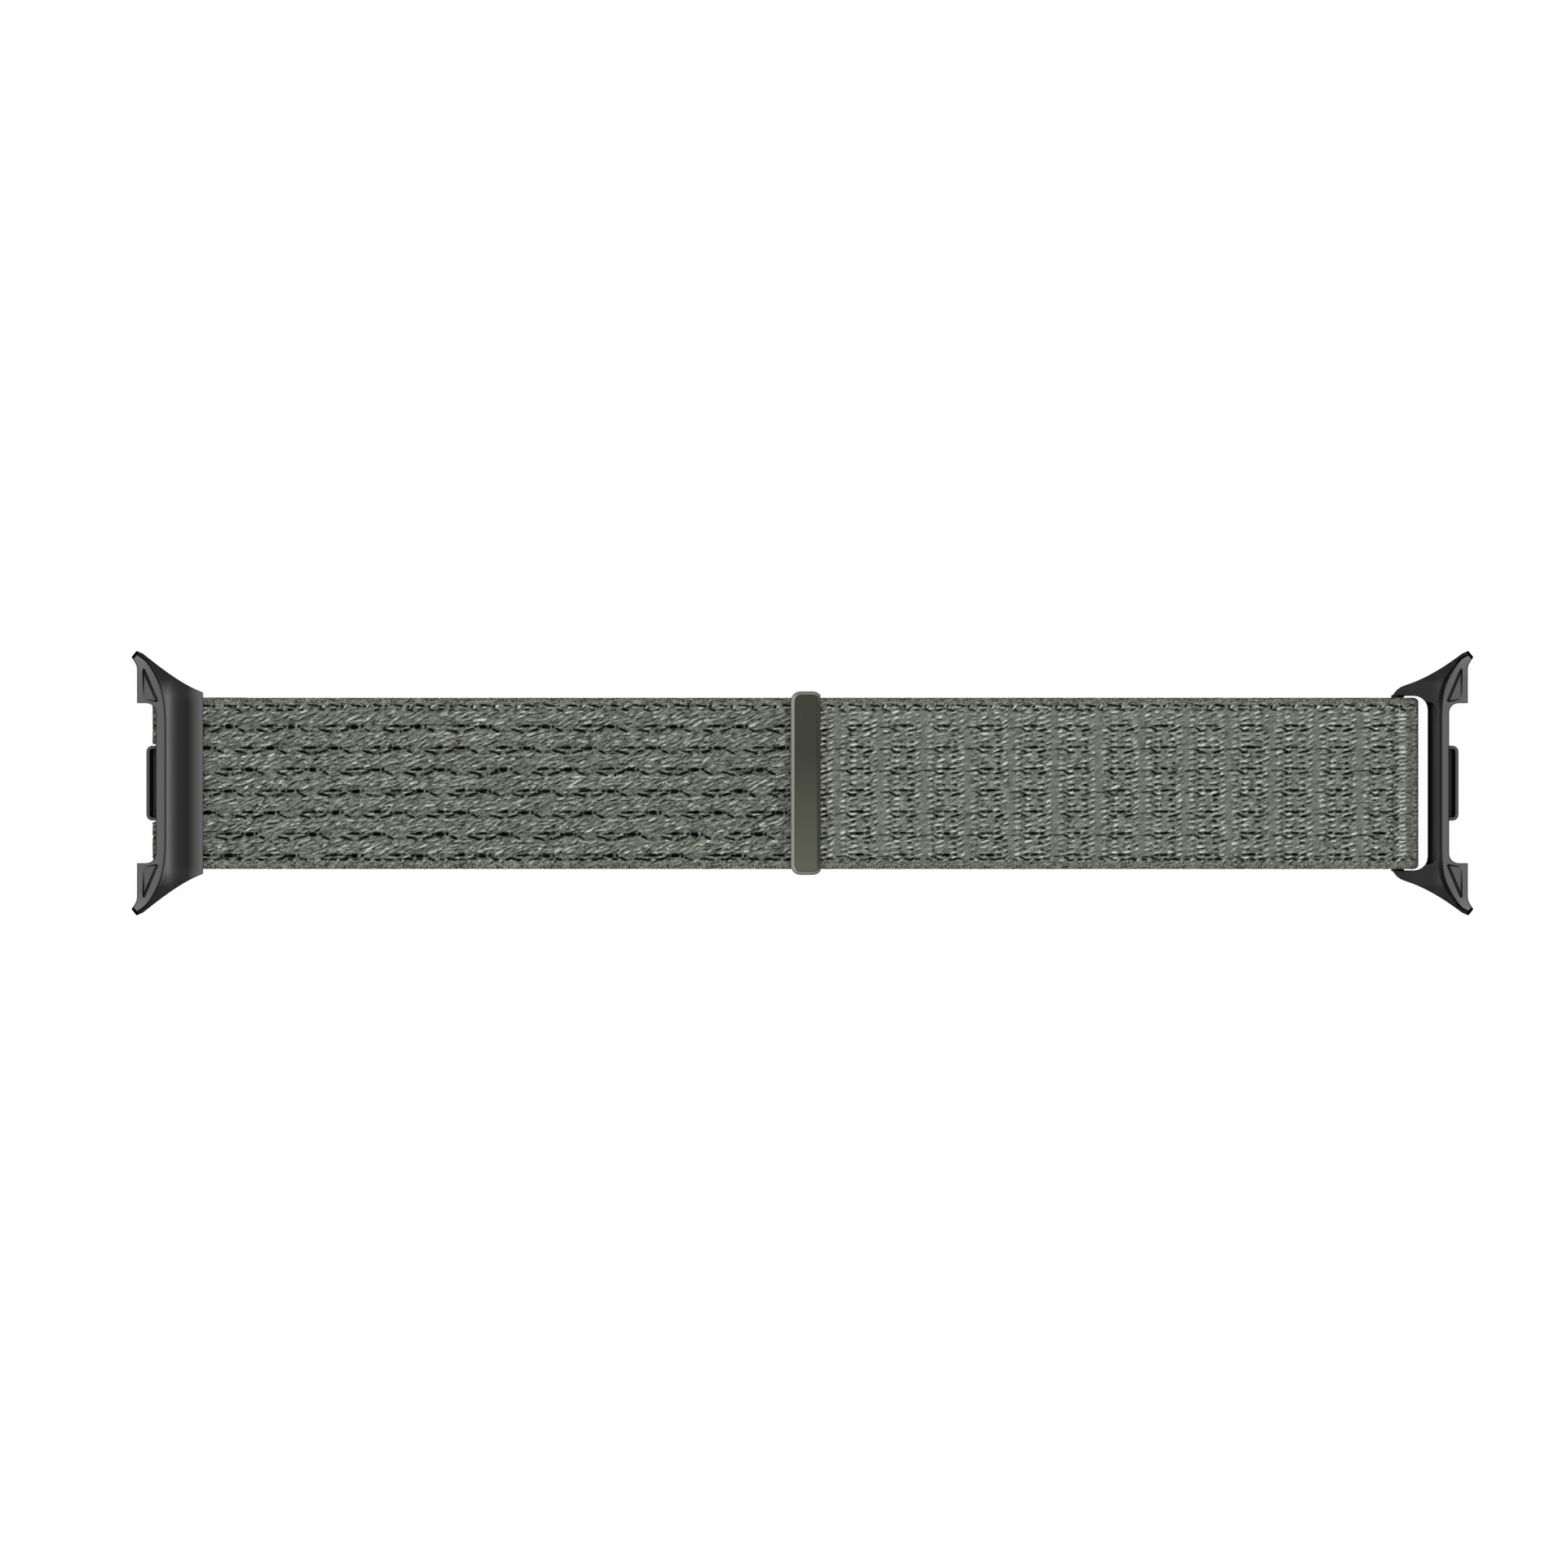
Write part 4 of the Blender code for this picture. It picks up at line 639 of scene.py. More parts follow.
def strip(name, path, half, patterns, steps, centre_y=WEB_SHIFT, relief=1.0, shade=0.0,
          edge=WEB_EDGE):
    """A closed strip of webbing along a path, with a woven relief on both faces.

    patterns and steps are for the outer and the inner face. relief scales the patterns' height,
    and shade is added to their tone, at each place along the path or all over. On the turn over
    the crossbar this is painted light; on the pin tabs it makes them darker.
    """
    relief, shade = (np.broadcast_to(value, path.x.shape)[:, None] for value in (relief, shade))
    parts = []
    for face, (q, sign) in enumerate(((path.q_outer, 1), (path.q_inner, -1))):
        count = int(round(2 * (half - edge) / steps[face]))
        across = np.linspace(half - edge, edge - half, count + 1) * sign + centre_y
        parts.append(woven_face(path, q, sign, across, patterns[face], FACE_SEED + face, relief))
        parts.append(round_edge(path, q, sign, half, edge, centre_y, EDGE_SEED + face))
    points, tone, grain, place = (np.concatenate(arrays, axis=1) for arrays in zip(*parts))
    return grid_mesh(name, points, {"tone": tone + shade, "grain": grain, "place": place})


def tube_faces(rings, count):
    """Faces of a closed tube: the quads between its rings, and a cap at each end."""
    ring = np.arange(rings - 1)[:, None] * count
    a = np.arange(count)[None, :]
    b = (a + 1) % count
    quads = np.stack([ring + a, ring + b, ring + count + b, ring + count + a], axis=2)
    return quads.reshape(-1, 4), np.arange(count)[::-1], np.arange(count) + (rings - 1) * count


def grid_mesh(name, points, values):
    """A closed tube from rings of points, capped at both ends, with values for its points."""
    rings, count = points.shape[:2]
    quads, first, last = tube_faces(rings, count)
    corners = np.concatenate([quads.ravel(), first, last])
    starts = np.append(np.arange(0, quads.size, 4), [quads.size, quads.size + count])
    mesh = bpy.data.meshes.new(name)
    mesh.vertices.add(rings * count)
    mesh.vertices.foreach_set("co", points.astype(np.float32).ravel())
    mesh.loops.add(len(corners))
    mesh.loops.foreach_set("vertex_index", corners.astype(np.int32))
    mesh.polygons.add(len(starts))
    mesh.polygons.foreach_set("loop_start", starts.astype(np.int32))
    mesh.update(calc_edges=True)
    mesh.validate()
    mesh.shade_smooth()
    for key, array in values.items():
        kind, slot = ("FLOAT_VECTOR", "vector") if array.ndim == 3 else ("FLOAT", "value")
        attribute = mesh.attributes.new(key, kind, "POINT")
        attribute.data.foreach_set(slot, array.astype(np.float32).ravel())
    return placed(name, mesh)


def web_half():
    """Half the webbing's width."""
    low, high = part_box("strap_lower_run")
    return (high.y - low.y) / 2 + WEB_SPREAD


def bar_place():
    """The crossbar's X, and the radii of the webbing's outer face and middle round it."""
    low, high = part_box("strap_fold")
    outer = high.x - low.x
    return low.x, outer, outer - WEB_THICK / 2


def pin_place(word):
    """The X and Z of a left pin."""
    low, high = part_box(f"left_strap_pin_{word}")
    return (low.x + high.x) / 2, (low.z + high.z) / 2


def run_top(x):
    """Height of the lower run's top, which rises towards the left pins."""
    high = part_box("strap_lower_run")[1].z
    return WEB_THICK + (high - WEB_THICK) * ease(1 - (x - pin_place("far")[0]) / RISE_LENGTH)


def lower_run():
    """The webbing from the left cover to under the clasp."""
    start = pin_place("far")[0] + RUN_START
    x = np.linspace(start, SPLIT_X, int((SPLIT_X - start) / STEP_FINE))
    z = run_top(x) - WEB_THICK / 2
    path = Path(x, z, normals_of(x, z), WEB_THICK, x)
    obj = strip("woven_lower_run", path, web_half(), (WOVEN_A, WOVEN_B), (STEP_FINE, STEP_COARSE))
    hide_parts("strap_lower_run")
    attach(obj, "lower_strap")
    return obj


def lower_feed():
    """Under the clasp to the crossbar and round its front."""
    bar_x, outer, middle = bar_place()
    flat = np.arange(SPLIT_X, bar_x, STEP_FEED)
    turn = np.linspace(-math.pi / 2, 0, FEED_TURN)
    near = np.concatenate([np.zeros_like(flat), np.cos(turn) ** 2])
    nx = np.concatenate([np.zeros_like(flat), -np.cos(turn)])
    nz = np.concatenate([np.ones_like(flat), -np.sin(turn)])
    x = np.concatenate([flat, bar_x + middle * np.cos(turn)]) - nx * FOLD_PUFF * near / 2
    z = np.concatenate([np.full_like(flat, WEB_THICK / 2), outer + middle * np.sin(turn)])
    z -= nz * FOLD_PUFF * near / 2
    q_up = np.concatenate([flat, bar_x + (turn + math.pi / 2) * (outer - WEB_THICK)])
    q_down = np.concatenate([2 * bar_x + math.pi * outer - flat,
                             bar_x + outer * (math.pi / 2 - turn)])
    path = Path(x, z, (nx, nz), WEB_THICK + FOLD_PUFF * near, q_up, q_down)
    obj = strip("woven_feed", path, web_half(), (WOVEN_A, WOVEN_B), (STEP_COARSE, STEP_COARSE),
                relief=1 - (1 - FOLD_RELIEF) * near)
    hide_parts("strap_lower_feed", "strap_fold")
    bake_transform(obj)
    return obj


def return_bend():
    """Over the crossbar."""
    bar_x, outer, middle = bar_place()
    turn = np.linspace(0, math.pi / 2, BEND_TURN)
    nx, nz = np.cos(turn), np.sin(turn)
    near = nx ** 2
    radius = middle + FOLD_PUFF * near / 2
    path = Path(bar_x + radius * nx, outer + radius * nz, (nx, nz), WEB_THICK + FOLD_PUFF * near,
                bar_x + outer * (math.pi / 2 - turn))
    # painted light on the turn, strongest where it faces away from the top lamp
    obj = strip("woven_bend", path, web_half(), (WOVEN_FOLD, WOVEN_A), (STEP_FINE, STEP_COARSE),
                relief=1 - (1 - FOLD_RELIEF) * near, shade=FOLD_PAINTED_LIGHT * near)
    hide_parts("strap_return_bend")
    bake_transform(obj)
    return obj


def return_end():
    """From the crossbar down to the lower run and into the clasp."""
    bar_x, outer, middle = bar_place()
    low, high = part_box("strap_return_end")
    x = np.linspace(bar_x, low.x, int((bar_x - low.x) / STEP_FINE))
    top, level = outer + middle, (low.z + high.z) / 2
    z = lerp(top, level, ease((bar_x - x) / SETTLE_LENGTH))
    path = Path(x, z, -normals_of(x, z), WEB_THICK, x)
    obj = strip("woven_return", path, web_half(), (WOVEN_FOLD, WOVEN_A), (STEP_FINE, STEP_COARSE))
    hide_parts("strap_return_end")
    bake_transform(obj)
    return obj


def pin_tab(side, word):
    """One of the two tabs that wrap the pins, with its tail under the run."""
    pin_x, pin_z = pin_place(word)
    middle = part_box("strap_lower_run")[1].z - pin_z - TAIL_THICK / 2
    end = pin_x + RUN_START + TAB_OVERLAP
    slope = np.arange(end, pin_x, -STEP_FINE)
    turn = np.linspace(math.pi / 2, 3 * math.pi / 2, TAB_TURN)
    tail = np.arange(pin_x + STEP_FINE, pin_x + TAIL_LENGTH, STEP_FINE)
    floor = TAIL_LIFT * (1 - ease((tail - pin_x) / TAIL_SETTLE))
    room = run_top(tail) - WEB_THICK - TAIL_PLAY - floor
    thick_slope = lerp(TAIL_THICK, WEB_THICK - TAB_STEP, ease((slope - pin_x) / (end - pin_x)))
    thick_tail = np.clip(room, TAIL_THINNEST, TAIL_THICK)
    x = np.concatenate([slope, pin_x + middle * np.cos(turn), tail])
    z = np.concatenate([run_top(slope) - thick_slope / 2, pin_z + middle * np.sin(turn),
                        floor + thick_tail / 2])
    thick = np.concatenate([thick_slope, np.full_like(turn, TAIL_THICK), thick_tail])
    q = end - np.append(0, np.cumsum(np.hypot(np.diff(x), np.diff(z))))
    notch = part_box("left_back_plate")
    inner = (notch[1].y - notch[0].y) / 2 + TAB_PLAY
    half = (web_half() - inner) / 2
    obj = strip(f"woven_pin_tab_{word}", Path(x, z, -normals_of(x, z), thick, q), half,
                (WOVEN_A, WOVEN_B), (STEP_COARSE, STEP_COARSE), side * (inner + half),
                relief=TAB_RELIEF, shade=TAB_SHADE, edge=TAB_EDGE)
    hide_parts("strap_lower_run")
    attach(obj, "lower_strap")
    return obj


# The pad, the springs and the painted shade in the tray's seam

def rounded_outline(low, high, corner):
    """A rectangle with round corners, as points in XY."""
    left, right, near, far = low.x + corner, high.x - corner, low.y + corner, high.y - corner
    points = []
    for k, (x, y) in enumerate(((right, far), (left, far), (left, near), (right, near))):
        for i in range(CORNER_STEPS + 1):
            angle = math.radians(90 * (k + i / CORNER_STEPS))
            points.append((x + corner * math.cos(angle), y + corner * math.sin(angle)))
    return points


def hook_shape(top, bottom):
    """Rings of points of one hook: a round stem that bends over at its free end."""
    x, share = np.array(HOOK_LINE).T
    z = top - share * (top - bottom - HOOK_RADIUS)
    turn = np.tile(np.linspace(0, -2 * np.pi, HOOK_SIDES + 1)[:-1], (len(x), 1))
    path = Path(x, z, normals_of(x, z), HOOK_RADIUS)
    return path.points(HOOK_RADIUS * np.cos(turn), HOOK_RADIUS * np.sin(turn)).reshape(-1, 3)


def hook_pad():
    """The pad under the return end: a thin sheet with a field of small hooks under it."""
    low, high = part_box("hook_pad")
    sheet = high.z - PAD_SHEET
    outline = rounded_outline(low, high, PAD_CORNER)
    points = [(x, y, z) for z in (sheet, high.z) for x, y in outline]
    quads, *caps = tube_faces(2, len(outline))
    faces = [face.tolist() for face in (*quads, *caps)]
    hook = hook_shape(sheet + HOOK_ROOT, low.z - HOOK_REACH)
    quads, *caps = tube_faces(len(HOOK_LINE), HOOK_SIDES)
    rng = np.random.default_rng(HOOK_SEED)
    for i, x in enumerate(np.arange(low.x + HOOK_EDGE, high.x - HOOK_EDGE, HOOK_PITCH[0])):
        lean = 1 if i % 2 else -1
        for y in np.arange(low.y + HOOK_EDGE, high.y - HOOK_EDGE, HOOK_PITCH[1]):
            dx, dy = rng.uniform(-HOOK_PLAY, HOOK_PLAY, 2)
            faces += [(len(points) + face[::lean]).tolist() for face in (*quads, *caps)]
            points += (hook * (lean, 1, 1) + (x + dx, y + dy, 0)).tolist()
    mesh = bpy.data.meshes.new("hooked_pad")
    mesh.from_pydata(points, [], faces)
    mesh.update()
    obj = placed("hooked_pad", mesh)
    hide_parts("hook_pad")
    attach(obj, "end_clasp")
    return obj


def latch_spring(side, word):
    """A coil that is squeezed between the bolt and the ceiling of its pocket."""
    name = f"{side}_latch_spring_{word}"
    low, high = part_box(name)
    wire = SPRING_WIRE / 2
    radius = (high.y - low.y) / 2 - wire
    centre = (low + high) / 2
    turn = np.linspace(0, 2 * np.pi * SPRING_TURNS, SPRING_TURNS * SPRING_STEPS + 1)
    section = np.linspace(0, 2 * np.pi, SPRING_SIDES + 1)[:-1, None]
    outward = np.stack([np.cos(turn), np.sin(turn), np.zeros_like(turn)], axis=1)
    middle = np.array(centre) + radius * outward
    middle[:, 2] = np.linspace(low.z + wire, high.z - wire, len(turn))
    along = np.gradient(middle, axis=0)
    along /= np.linalg.norm(along, axis=1)[:, None]
    upward = np.cross(along, outward)
    points = middle[:, None] + wire * (np.cos(section) * outward[:, None]
                                       + np.sin(section) * upward[:, None])
    obj = grid_mesh(f"coil_{side}_{word}", points, {})
    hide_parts(name)
    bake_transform(obj)
    return obj


def tray_seam_shade(side, sign):
    """A near-black sheet of painted shade in the seam between the latch's tray and the rim."""
    low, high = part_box(f"{side}_latch_frame")
    bolt_low, bolt_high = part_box(f"{side}_latch_bolt")
    rim = max(abs(bolt_low.x), abs(bolt_high.x)) - SEAM_SHADE_BEFORE
    bpy.ops.mesh.primitive_cube_add(size=1)
    obj = bpy.context.object
    obj.name = f"{side}_tray_seam_shade"
    size = Vector((SEAM_SHADE_DEPTH, high.y - low.y - SEAM_SHADE_ENDS, SEAM_SHADE_TALL))
    obj.data.transform(Matrix.LocRotScale(Vector((sign * rim, 0, low.z - SEAM_SHADE_TALL)), None, size))
    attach(obj, f"{side}_connector")
    return obj


# Materials

class Nodes:
    """Builds the nodes of a tree with short calls."""

    def __init__(self, tree):
        self.tree = tree

    def node(self, kind, *values, **settings):
        """A new node with these settings and these values in its first inputs."""
        made = given(self.tree.nodes.new(kind), **settings)
        for socket, value in zip(made.inputs, values):
            self.put(socket, value)
        return made

    def put(self, socket, value):
        """Gives an input a link or a plain value."""
        if isinstance(value, bpy.types.NodeSocket):
            self.tree.links.new(value, socket)
        else:
            socket.default_value = value

    def fill(self, node, **values):
        """Gives a node's inputs their values by name, and returns its first output."""
        for key, value in values.items():
            self.put(node.inputs[key.replace("_", " ")], value)
        return node.outputs[0]

    def made(self, kind, **values):
        """The first output of a new node with these inputs."""
        return self.fill(self.node(kind), **values)

    def maths(self, operation, a, b=0):
        """One operation on links or numbers."""
        return self.node("ShaderNodeMath", a, b, operation=operation).outputs[0]

    def times(self, a, b):
        return self.maths("MULTIPLY", a, b)

    def plus(self, a, b):
        return self.maths("ADD", a, b)

    def based(self, value, gain, base):
        """A value times its gain, on top of a base."""
        return self.plus(self.times(value, gain), base)

    def without(self, share, loss):
        """What is left of 1 where a share of it is lost."""
        return self.maths("SUBTRACT", 1, self.times(share, loss))

    def around_zero(self, value, size):
        """A texture's value, moved from around a half to around zero and made this large."""
        return self.times(self.maths("SUBTRACT", value, 0.5), size)

    def span(self, value, low, high):
        """The value's share of the way from low to high, held between 0 and 1."""
        return self.made("ShaderNodeMapRange", Value=value, From_Min=low, From_Max=high)

    def parts(self, vector):
        """The X, Y and Z of a vector."""
        return self.node("ShaderNodeSeparateXYZ", vector).outputs

    def surface(self, kind, usual, seen):
        """Ends the tree: the usual shader gives the light, and the other is what is seen."""
        path = self.node("ShaderNodeLightPath").outputs
        rays = path["Is Camera Ray"]
        for name in ("Is Glossy Ray", "Is Transmission Ray"):
            rays = self.maths("MAXIMUM", rays, path[name])
        self.node(kind, self.node("ShaderNodeMixShader", rays, usual, seen).outputs[0])


class Coat(Nodes):
    """A material and its one shader."""

    def __init__(self, name):
        self.material = bpy.data.materials.new(name)
        self.material.use_nodes = True
        super().__init__(self.material.node_tree)
        self.shader = self.tree.nodes["Principled BSDF"]

    def set(self, **values):
        """Fills the shader's inputs."""
        self.fill(self.shader, **values)

    def attribute(self, name, output="Fac"):
        """What a mesh carries under this name."""
        return self.node("ShaderNodeAttribute", attribute_name=name).outputs[output]

    def place(self):
        """The place on the object."""
        return self.node("ShaderNodeTexCoord").outputs["Object"]

    def normal(self):
        """The X, Y and Z of the surface's direction."""
        return self.parts(self.node("ShaderNodeTexCoord").outputs["Normal"])

    def noise(self, vector, scale, detail=3.0):
        """Cloudy noise, around a half."""
        return self.made("ShaderNodeTexNoise", Vector=vector, Scale=scale, Detail=detail,
                         Roughness=0.55)

    def ramp(self, value, stops):
        """A colour by value, between stops."""
        made = self.node("ShaderNodeValToRGB", value)
        elements = made.color_ramp.elements
        while len(elements) < len(stops):
            elements.new(0.5)
        for element, (place, colour) in zip(elements, stops):
            element.position = place
            element.color = (*colour, 1)
        return made.outputs["Color"]

    def mix(self, share, first, second):
        """A colour between two."""
        made = self.node("ShaderNodeMix", share, data_type="RGBA")
        self.put(made.inputs[6], first)
        self.put(made.inputs[7], second)
        return made.outputs[2]

    def tinted(self, colour, factor):
        """A colour times a number or another colour."""
        return self.node("ShaderNodeVectorMath", colour, factor, operation="MULTIPLY").outputs[0]

    def mapping(self, vector, scale=(1, 1, 1), turn=0.0):
        """Places that are turned in the strap's plane and scaled."""
        return self.made("ShaderNodeMapping", Vector=vector, Scale=scale, Rotation=(0, 0, turn))

    def bump(self, height, distance, strength):
        """Fine relief on the surface."""
        self.set(Normal=self.made("ShaderNodeBump", Height=height, Distance=distance,
                                  Strength=strength))


def webbing_material():
    """Grey-green nylon: dark ground and painted shade in the gaps, bright twisted yarns on top.
    """
    n = Coat("webbing_nylon")
    place = n.attribute("place", "Vector")
    twisted = n.mapping(n.mapping(place, turn=FIBRE_SLANT), scale=FIBRE_STRETCH)
    fibres = n.noise(twisted, scale=7500, detail=1.0)
    specks = n.noise(place, scale=5500, detail=2.0)
    clouds = n.noise(twisted, scale=2600, detail=1.0)
    rough = n.plus(n.plus(n.around_zero(fibres, size=0.55), n.around_zero(specks, size=0.3)),
                   n.around_zero(clouds, size=0.7))
    value = n.plus(n.attribute("tone"), n.times(rough, n.attribute("grain")))
    n.set(Base_Color=n.ramp(value, NYLON), Roughness=0.7, Specular_IOR_Level=0.02)
    n.bump(fibres, distance=0.04 * MM, strength=0.5)
    return n.material


def black_metal_material(name, **shading):
    """Satin black coating, its colour scaled by painted light and shade."""
    n = Coat(name)
    place = n.place()
    grain = n.noise(place, scale=9000, detail=2.0)
    cloud = n.noise(place, scale=260)
    coat = n.ramp(n.based(grain, gain=0.25, base=n.times(cloud, 0.3)), BLACK_COAT)
    n.set(Base_Color=n.tinted(coat, painted_light_and_shade(n, place, **shading)), Metallic=1.0,
          Roughness=n.based(cloud, gain=0.06, base=0.31), Specular_Tint=EDGE_TINT)
    n.bump(grain, distance=0.004 * MM, strength=0.5)
    return n.material


def painted_light_and_shade(n, place, ridge_tone, steep_shade, bands=None, lit_wall=0.0):
    """Painted light and shade on the coating. Painted shade falls on what stands above the rim:
    near the horns, and all over it where ridge_tone is low. More falls on its level faces, on
    steep edges and on the tips' slopes, and a painted highlight lies on the ledge near the tips.

    bands, where given, holds painted reflection bands across the raised part by the distance from
    the middle. lit_wall paints light onto steep walls that face the strap's right end.
    """
    x, y, z = n.parts(place)
    facing_x, _, facing_up = n.normal()
    side = n.maths("ABSOLUTE", y)
    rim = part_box("left_connector_shell")[1].z - STEP_HEIGHT
    above = n.span(z, rim + ABOVE_RIM[0], rim + ABOVE_RIM[1])
    raised = n.maths("MAXIMUM", above, n.span(facing_up, *RAISED_SLOPE))
    # painted shade on what stands above the rim
    dull = n.times(raised, n.maths("MAXIMUM", n.span(side, *HORN_SHADE), 1 - ridge_tone))
    level = n.times(dull, n.span(facing_up, *LEVEL_SLOPE))
    steep = n.span(facing_up, *STEEP_SLOPE)
    # painted shade on the tips' slopes, and a painted highlight on the ledge near the tips
    tip = n.times(n.span(facing_up, *TIP_SLOPE), n.span(side, *TIP_PAINTED_SHADE))
    shine = n.times(n.span(side, *TIP_SHINE), n.without(above, 1))
    tone = n.plus(1, n.times(shine, SHINE_GAIN))
    for share, loss in ((dull, RAISED_SHADE_LOSS), (level, LEVEL_LOSS), (steep, steep_shade),
                        (tip, TIP_LOSS)):
        tone = n.times(tone, n.without(share, loss))
    # painted light on steep walls that face the strap's right end
    if lit_wall:
        wall = n.times(n.span(facing_up, *WALL_SLOPE), n.span(facing_x, *WALL_FACING))
        wall = n.times(wall, n.span(side, *TIP_PAINTED_SHADE[::-1]))
        tone = n.times(tone, n.plus(1, n.times(wall, lit_wall)))
    # painted reflection bands across the left cover
    if bands:
        tone = n.times(tone, painted_reflection_bands(n, x, side, bands))
    return tone


def painted_reflection_bands(n, x, side, bands):
    """Painted reflection bands: tone by the distance from the strap's middle, which fades to 1
    towards the horns.
    """
    far, near = bands[0][0], bands[-1][0]
    share = n.span(n.maths("ABSOLUTE", x), far * MM, near * MM)
    tone = n.ramp(share, [((far - place) / (far - near), (value,) * 3) for place, value in bands])
    return n.plus(1, n.times(n.span(side, *BANDS_REACH), n.maths("SUBTRACT", tone, 1)))


def tray_material():
    """The same coating, nearly black on the tray's floor, where it lies in the shade."""
    n = Coat("tray_satin")
    low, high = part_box("left_latch_frame")
    height = n.span(n.parts(n.place())["Z"], low.z, high.z)
    n.set(Base_Color=n.ramp(height, TRAY_COAT), Metallic=1.0, Roughness=0.45)
    return n.material


def bolt_material():
    """The lip in the tray, dull and dark."""
    n = Coat("bolt_satin")
    n.set(Base_Color=BOLT_COAT, Metallic=1.0, Roughness=0.5)
    return n.material


def steel_material(name, base, rough):
    """Bare or drawn steel with fine lines."""
    n = Coat(name)
    lines = n.noise(n.mapping(n.place(), scale=(1, 0.06, 1)), scale=12000, detail=2.0)
    dark = tuple(c * STEEL_LINES for c in base)
    n.set(Base_Color=n.ramp(lines, ((0.3, dark), (0.7, base))),
          Roughness=n.based(lines, gain=0.12, base=rough), Metallic=1.0)
    n.bump(lines, distance=0.004 * MM, strength=0.5)
    return n.material


def clasp_material():
    """Brushed olive metal, lighter towards its near end with painted reflection, and polished
    chamfers with a painted highlight by the way they face.
    """
    n = Coat("olive_plate")
    place = n.place()
    _, y, z = n.parts(place)
    low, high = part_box("clasp_cover")
    brushed = n.noise(n.mapping(place, scale=(1, 0.03, 1)), scale=9000, detail=2.0)
    # painted reflection: the plate grows lighter towards the near end
    plate = n.ramp(n.plus(n.span(y, high.y, low.y), n.around_zero(brushed, size=0.12)), PLATE)
    # painted highlight on the chamfers, brightest where they face the free end
    facing = n.span(n.normal()["X"], -CHAMFER_FACING, CHAMFER_FACING)
    lines = n.ramp(n.span(z, high.z - CHAMFER_SLOPE, high.z), CHAMFER_LINES)
    chamfer = n.tinted(n.ramp(facing, CHAMFER), lines)
    top = n.span(z, high.z - PLATE_BELOW[0], high.z - PLATE_BELOW[1])
    n.set(Base_Color=n.mix(top, chamfer, plate), Metallic=1.0,
          Roughness=n.based(brushed, gain=0.1, base=0.3))
    n.bump(brushed, distance=0.003 * MM, strength=0.4)
    return n.material


def hook_material():
    """Dark moulded nylon."""
    n = Coat("hook_nylon")
    cloud = n.noise(n.place(), scale=1500)
    n.set(Base_Color=n.ramp(cloud, HOOK_NYLON), Roughness=0.5)
    n.bump(cloud, distance=0.02 * MM, strength=0.4)
    return n.material


# The metal nodes

def paint(obj, material):
    """The piece takes this material in its only slot."""
    obj.data.materials.clear()
    obj.data.materials.append(material)


def rounded(obj):
    """Small radii on every edge of a solid, by remeshing and smoothing."""
    given(obj.modifiers.new("fine_skin", "REMESH"), mode="VOXEL", voxel_size=SKIN_VOXEL,
          use_smooth_shade=True)
    given(obj.modifiers.new("round_edges", "SMOOTH"), factor=0.5, iterations=SKIN_SMOOTHING)


def even_skin(obj, low):
    """Evens out the facets of the curved top. Steep places stay, so edges and grooves do too."""
    group = bpy.data.node_groups.new("even_skin", "GeometryNodeTree")
    for way in ("INPUT", "OUTPUT"):
        group.interface.new_socket("Geometry", in_out=way, socket_type="NodeSocketGeometry")
    n = Nodes(group)
    place, normal = n.made("GeometryNodeInputPosition"), n.made("GeometryNodeInputNormal")
    weight = n.times(n.span(n.parts(place)["Z"], low, low + SKIN_BLEND),
                     n.span(n.parts(normal)["Z"], *FLAT_ENOUGH))
    blur = n.node("GeometryNodeBlurAttribute", data_type="FLOAT_VECTOR")
    n.fill(blur, Iterations=SKIN_ROUNDS, Weight=weight)
    n.put(next(i for i in blur.inputs if i.name == "Value" and i.enabled), place)
    moved = n.made("GeometryNodeSetPosition", Geometry=n.made("NodeGroupInput"),
                   Position=next(o for o in blur.outputs if o.enabled))
    n.node("NodeGroupOutput", moved)
    obj.modifiers.new("even_skin", "NODES").node_group = group


def softened(obj, width):
    """Narrow round edges on a plain solid."""
    given(obj.modifiers.new("flat_faces", "DECIMATE"), decimate_type="DISSOLVE",
          angle_limit=math.radians(1))
    given(obj.modifiers.new("soft_edges", "BEVEL"), width=width, segments=3,
          limit_method="ANGLE", angle_limit=math.radians(30), harden_normals=True)
    for polygon in obj.data.polygons:
        polygon.use_smooth = True


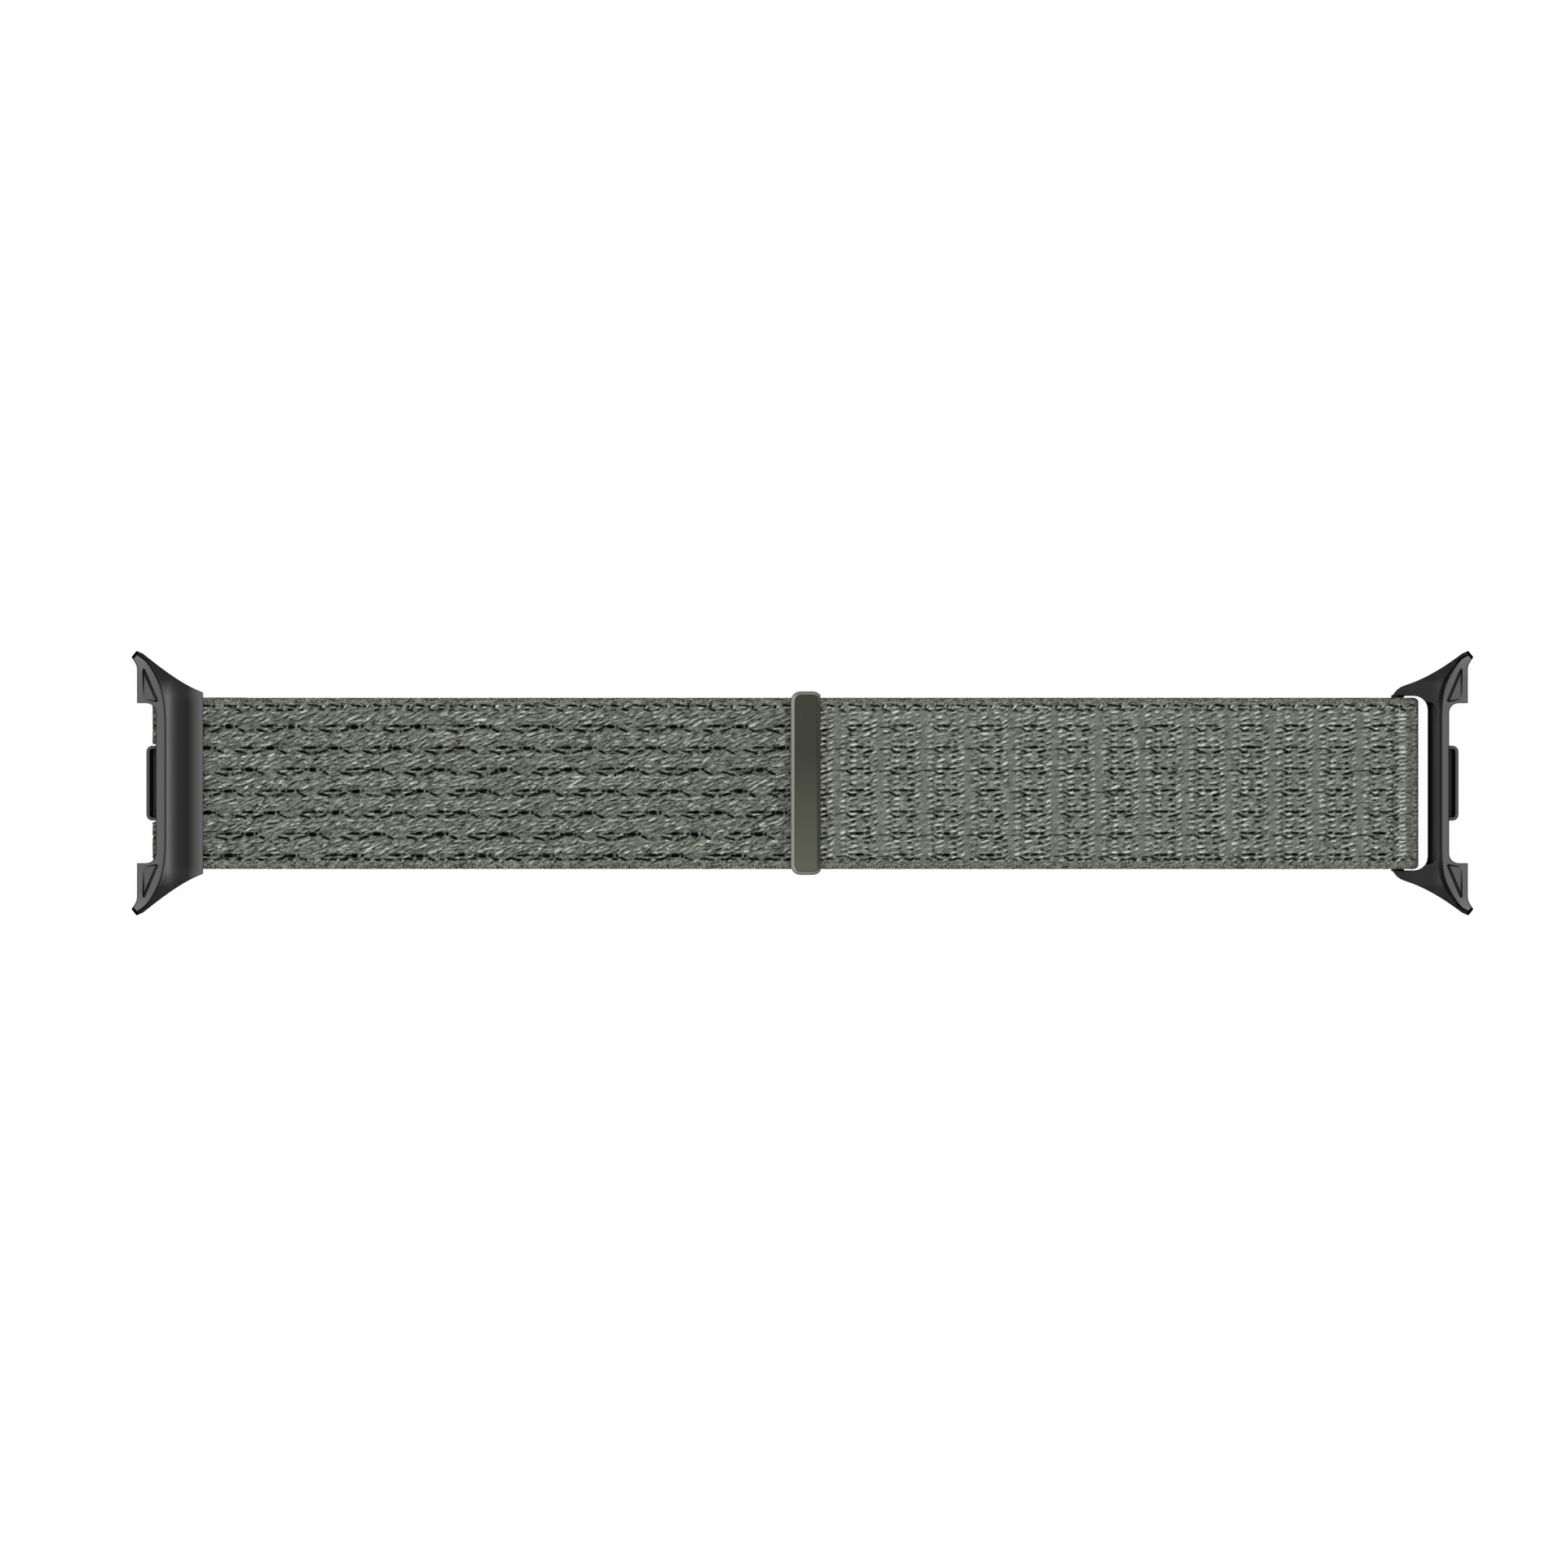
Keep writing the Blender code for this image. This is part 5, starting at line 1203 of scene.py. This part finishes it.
def dress_metal():
    """Materials and edges for the nodes that the part brings, and the pieces among them."""
    # both black coats carry painted light and shade
    black = black_metal_material("black_satin", ridge_tone=1.0, steep_shade=0.35,
                                 bands=COVER_REFLECTION_BANDS)
    ridged = black_metal_material("black_satin_ridge", ridge_tone=0.25, steep_shade=0.05,
                                  lit_wall=1.7)
    tray, bolt = tray_material(), bolt_material()
    steel = steel_material("brushed_steel", STEEL, rough=0.25)
    spring = steel_material("spring_steel", SPRING_STEEL, rough=0.22)
    for name, coat in (("left_connector_shell", black), ("right_connector_frame", ridged)):
        paint(NODES[name], coat)
        rounded(NODES[name])
        even_skin(NODES[name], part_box("left_connector_shell")[1].z - STEP_HEIGHT + SKIN_ABOVE)
    for side, sign in (("left", -1), ("right", 1)):
        paint(tray_seam_shade(side, sign), tray)
    for side in ("left", "right"):
        for name, coat, width in (("latch_frame", tray, EDGE_WIDTH),
                                  ("release_button", black, EDGE_WIDTH),
                                  ("back_plate", black, EDGE_WIDTH),
                                  ("latch_bolt", bolt, BOLT_EDGE_WIDTH)):
            paint(NODES[f"{side}_{name}"], coat)
            softened(NODES[f"{side}_{name}"], width)
        for word in ("far", "near"):
            paint(latch_spring(side, word), spring)
    for name in ("left_plate_screw", "right_plate_screw", "left_strap_pin", "clasp_pin"):
        for word in ("far", "near"):
            paint(NODES[f"{name}_{word}"], steel)
    olive = clasp_material()
    paint(NODES["clasp_cover"], olive)
    paint(NODES["clasp_base_plate"], olive)
    paint(hook_pad(), hook_material())


# Stage, light and camera

def stage():
    """A pale floor that keeps the object's soft shadow."""
    bpy.ops.mesh.primitive_plane_add(size=2 * FLOOR_HALF, location=(0, 0, -FLOOR_GAP))
    floor = bpy.context.object
    floor.name = "floor"
    material = bpy.data.materials.new("floor")
    material.use_nodes = True
    n = Nodes(material.node_tree)
    n.tree.nodes.clear()
    seen = n.node("ShaderNodeAddShader", n.made("ShaderNodeBsdfDiffuse", Color=FLOOR_SHADOW),
                  n.made("ShaderNodeEmission", Color=WHITE, Strength=FLOOR_GLOW))
    n.surface("ShaderNodeOutputMaterial", n.made("ShaderNodeBsdfDiffuse", Color=FLOOR_COLOUR),
              seen.outputs[0])
    paint(floor, material)


def world():
    """White where it is seen, and an even grey light."""
    made = bpy.data.worlds.new("studio")
    made.use_nodes = True
    bpy.context.scene.world = made
    n = Nodes(made.node_tree)
    n.tree.nodes.clear()
    n.surface("ShaderNodeOutputWorld",
              n.made("ShaderNodeBackground", Color=WHITE, Strength=WORLD_LIGHT),
              n.made("ShaderNodeBackground", Color=WHITE, Strength=1.0))


def area_lamp(name, place, size, radiance):
    """A round lamp of the given radiance that faces the strap."""
    area = math.pi * (size / 2) ** 2
    light = given(bpy.data.lights.new(name, "AREA"), shape="DISK", size=size,
                  energy=radiance * math.pi * area)
    lamp = placed(name, light, place)
    lamp.rotation_euler = (-Vector(place)).to_track_quat("-Z", "Y").to_euler()


def camera():
    """Straight above the strap, without perspective."""
    data = given(bpy.data.cameras.new("camera"), type="ORTHO", ortho_scale=FRAME_WIDTH,
                 clip_start=CAMERA_CLIP[0], clip_end=CAMERA_CLIP[1])
    bpy.context.scene.camera = placed("camera", data, (*FRAME_CENTRE, CAMERA_HEIGHT))


def build():
    """The whole scene."""
    nylon = webbing_material()
    for obj in (lower_run(), lower_feed(), return_bend(), return_end(), pin_tab(1, "far"),
                pin_tab(-1, "near")):
        paint(obj, nylon)
    dress_metal()
    stage()
    world()
    for lamp in LAMPS:
        area_lamp(*lamp)
    camera()
    bpy.context.scene.view_settings.view_transform = "Standard"


build()
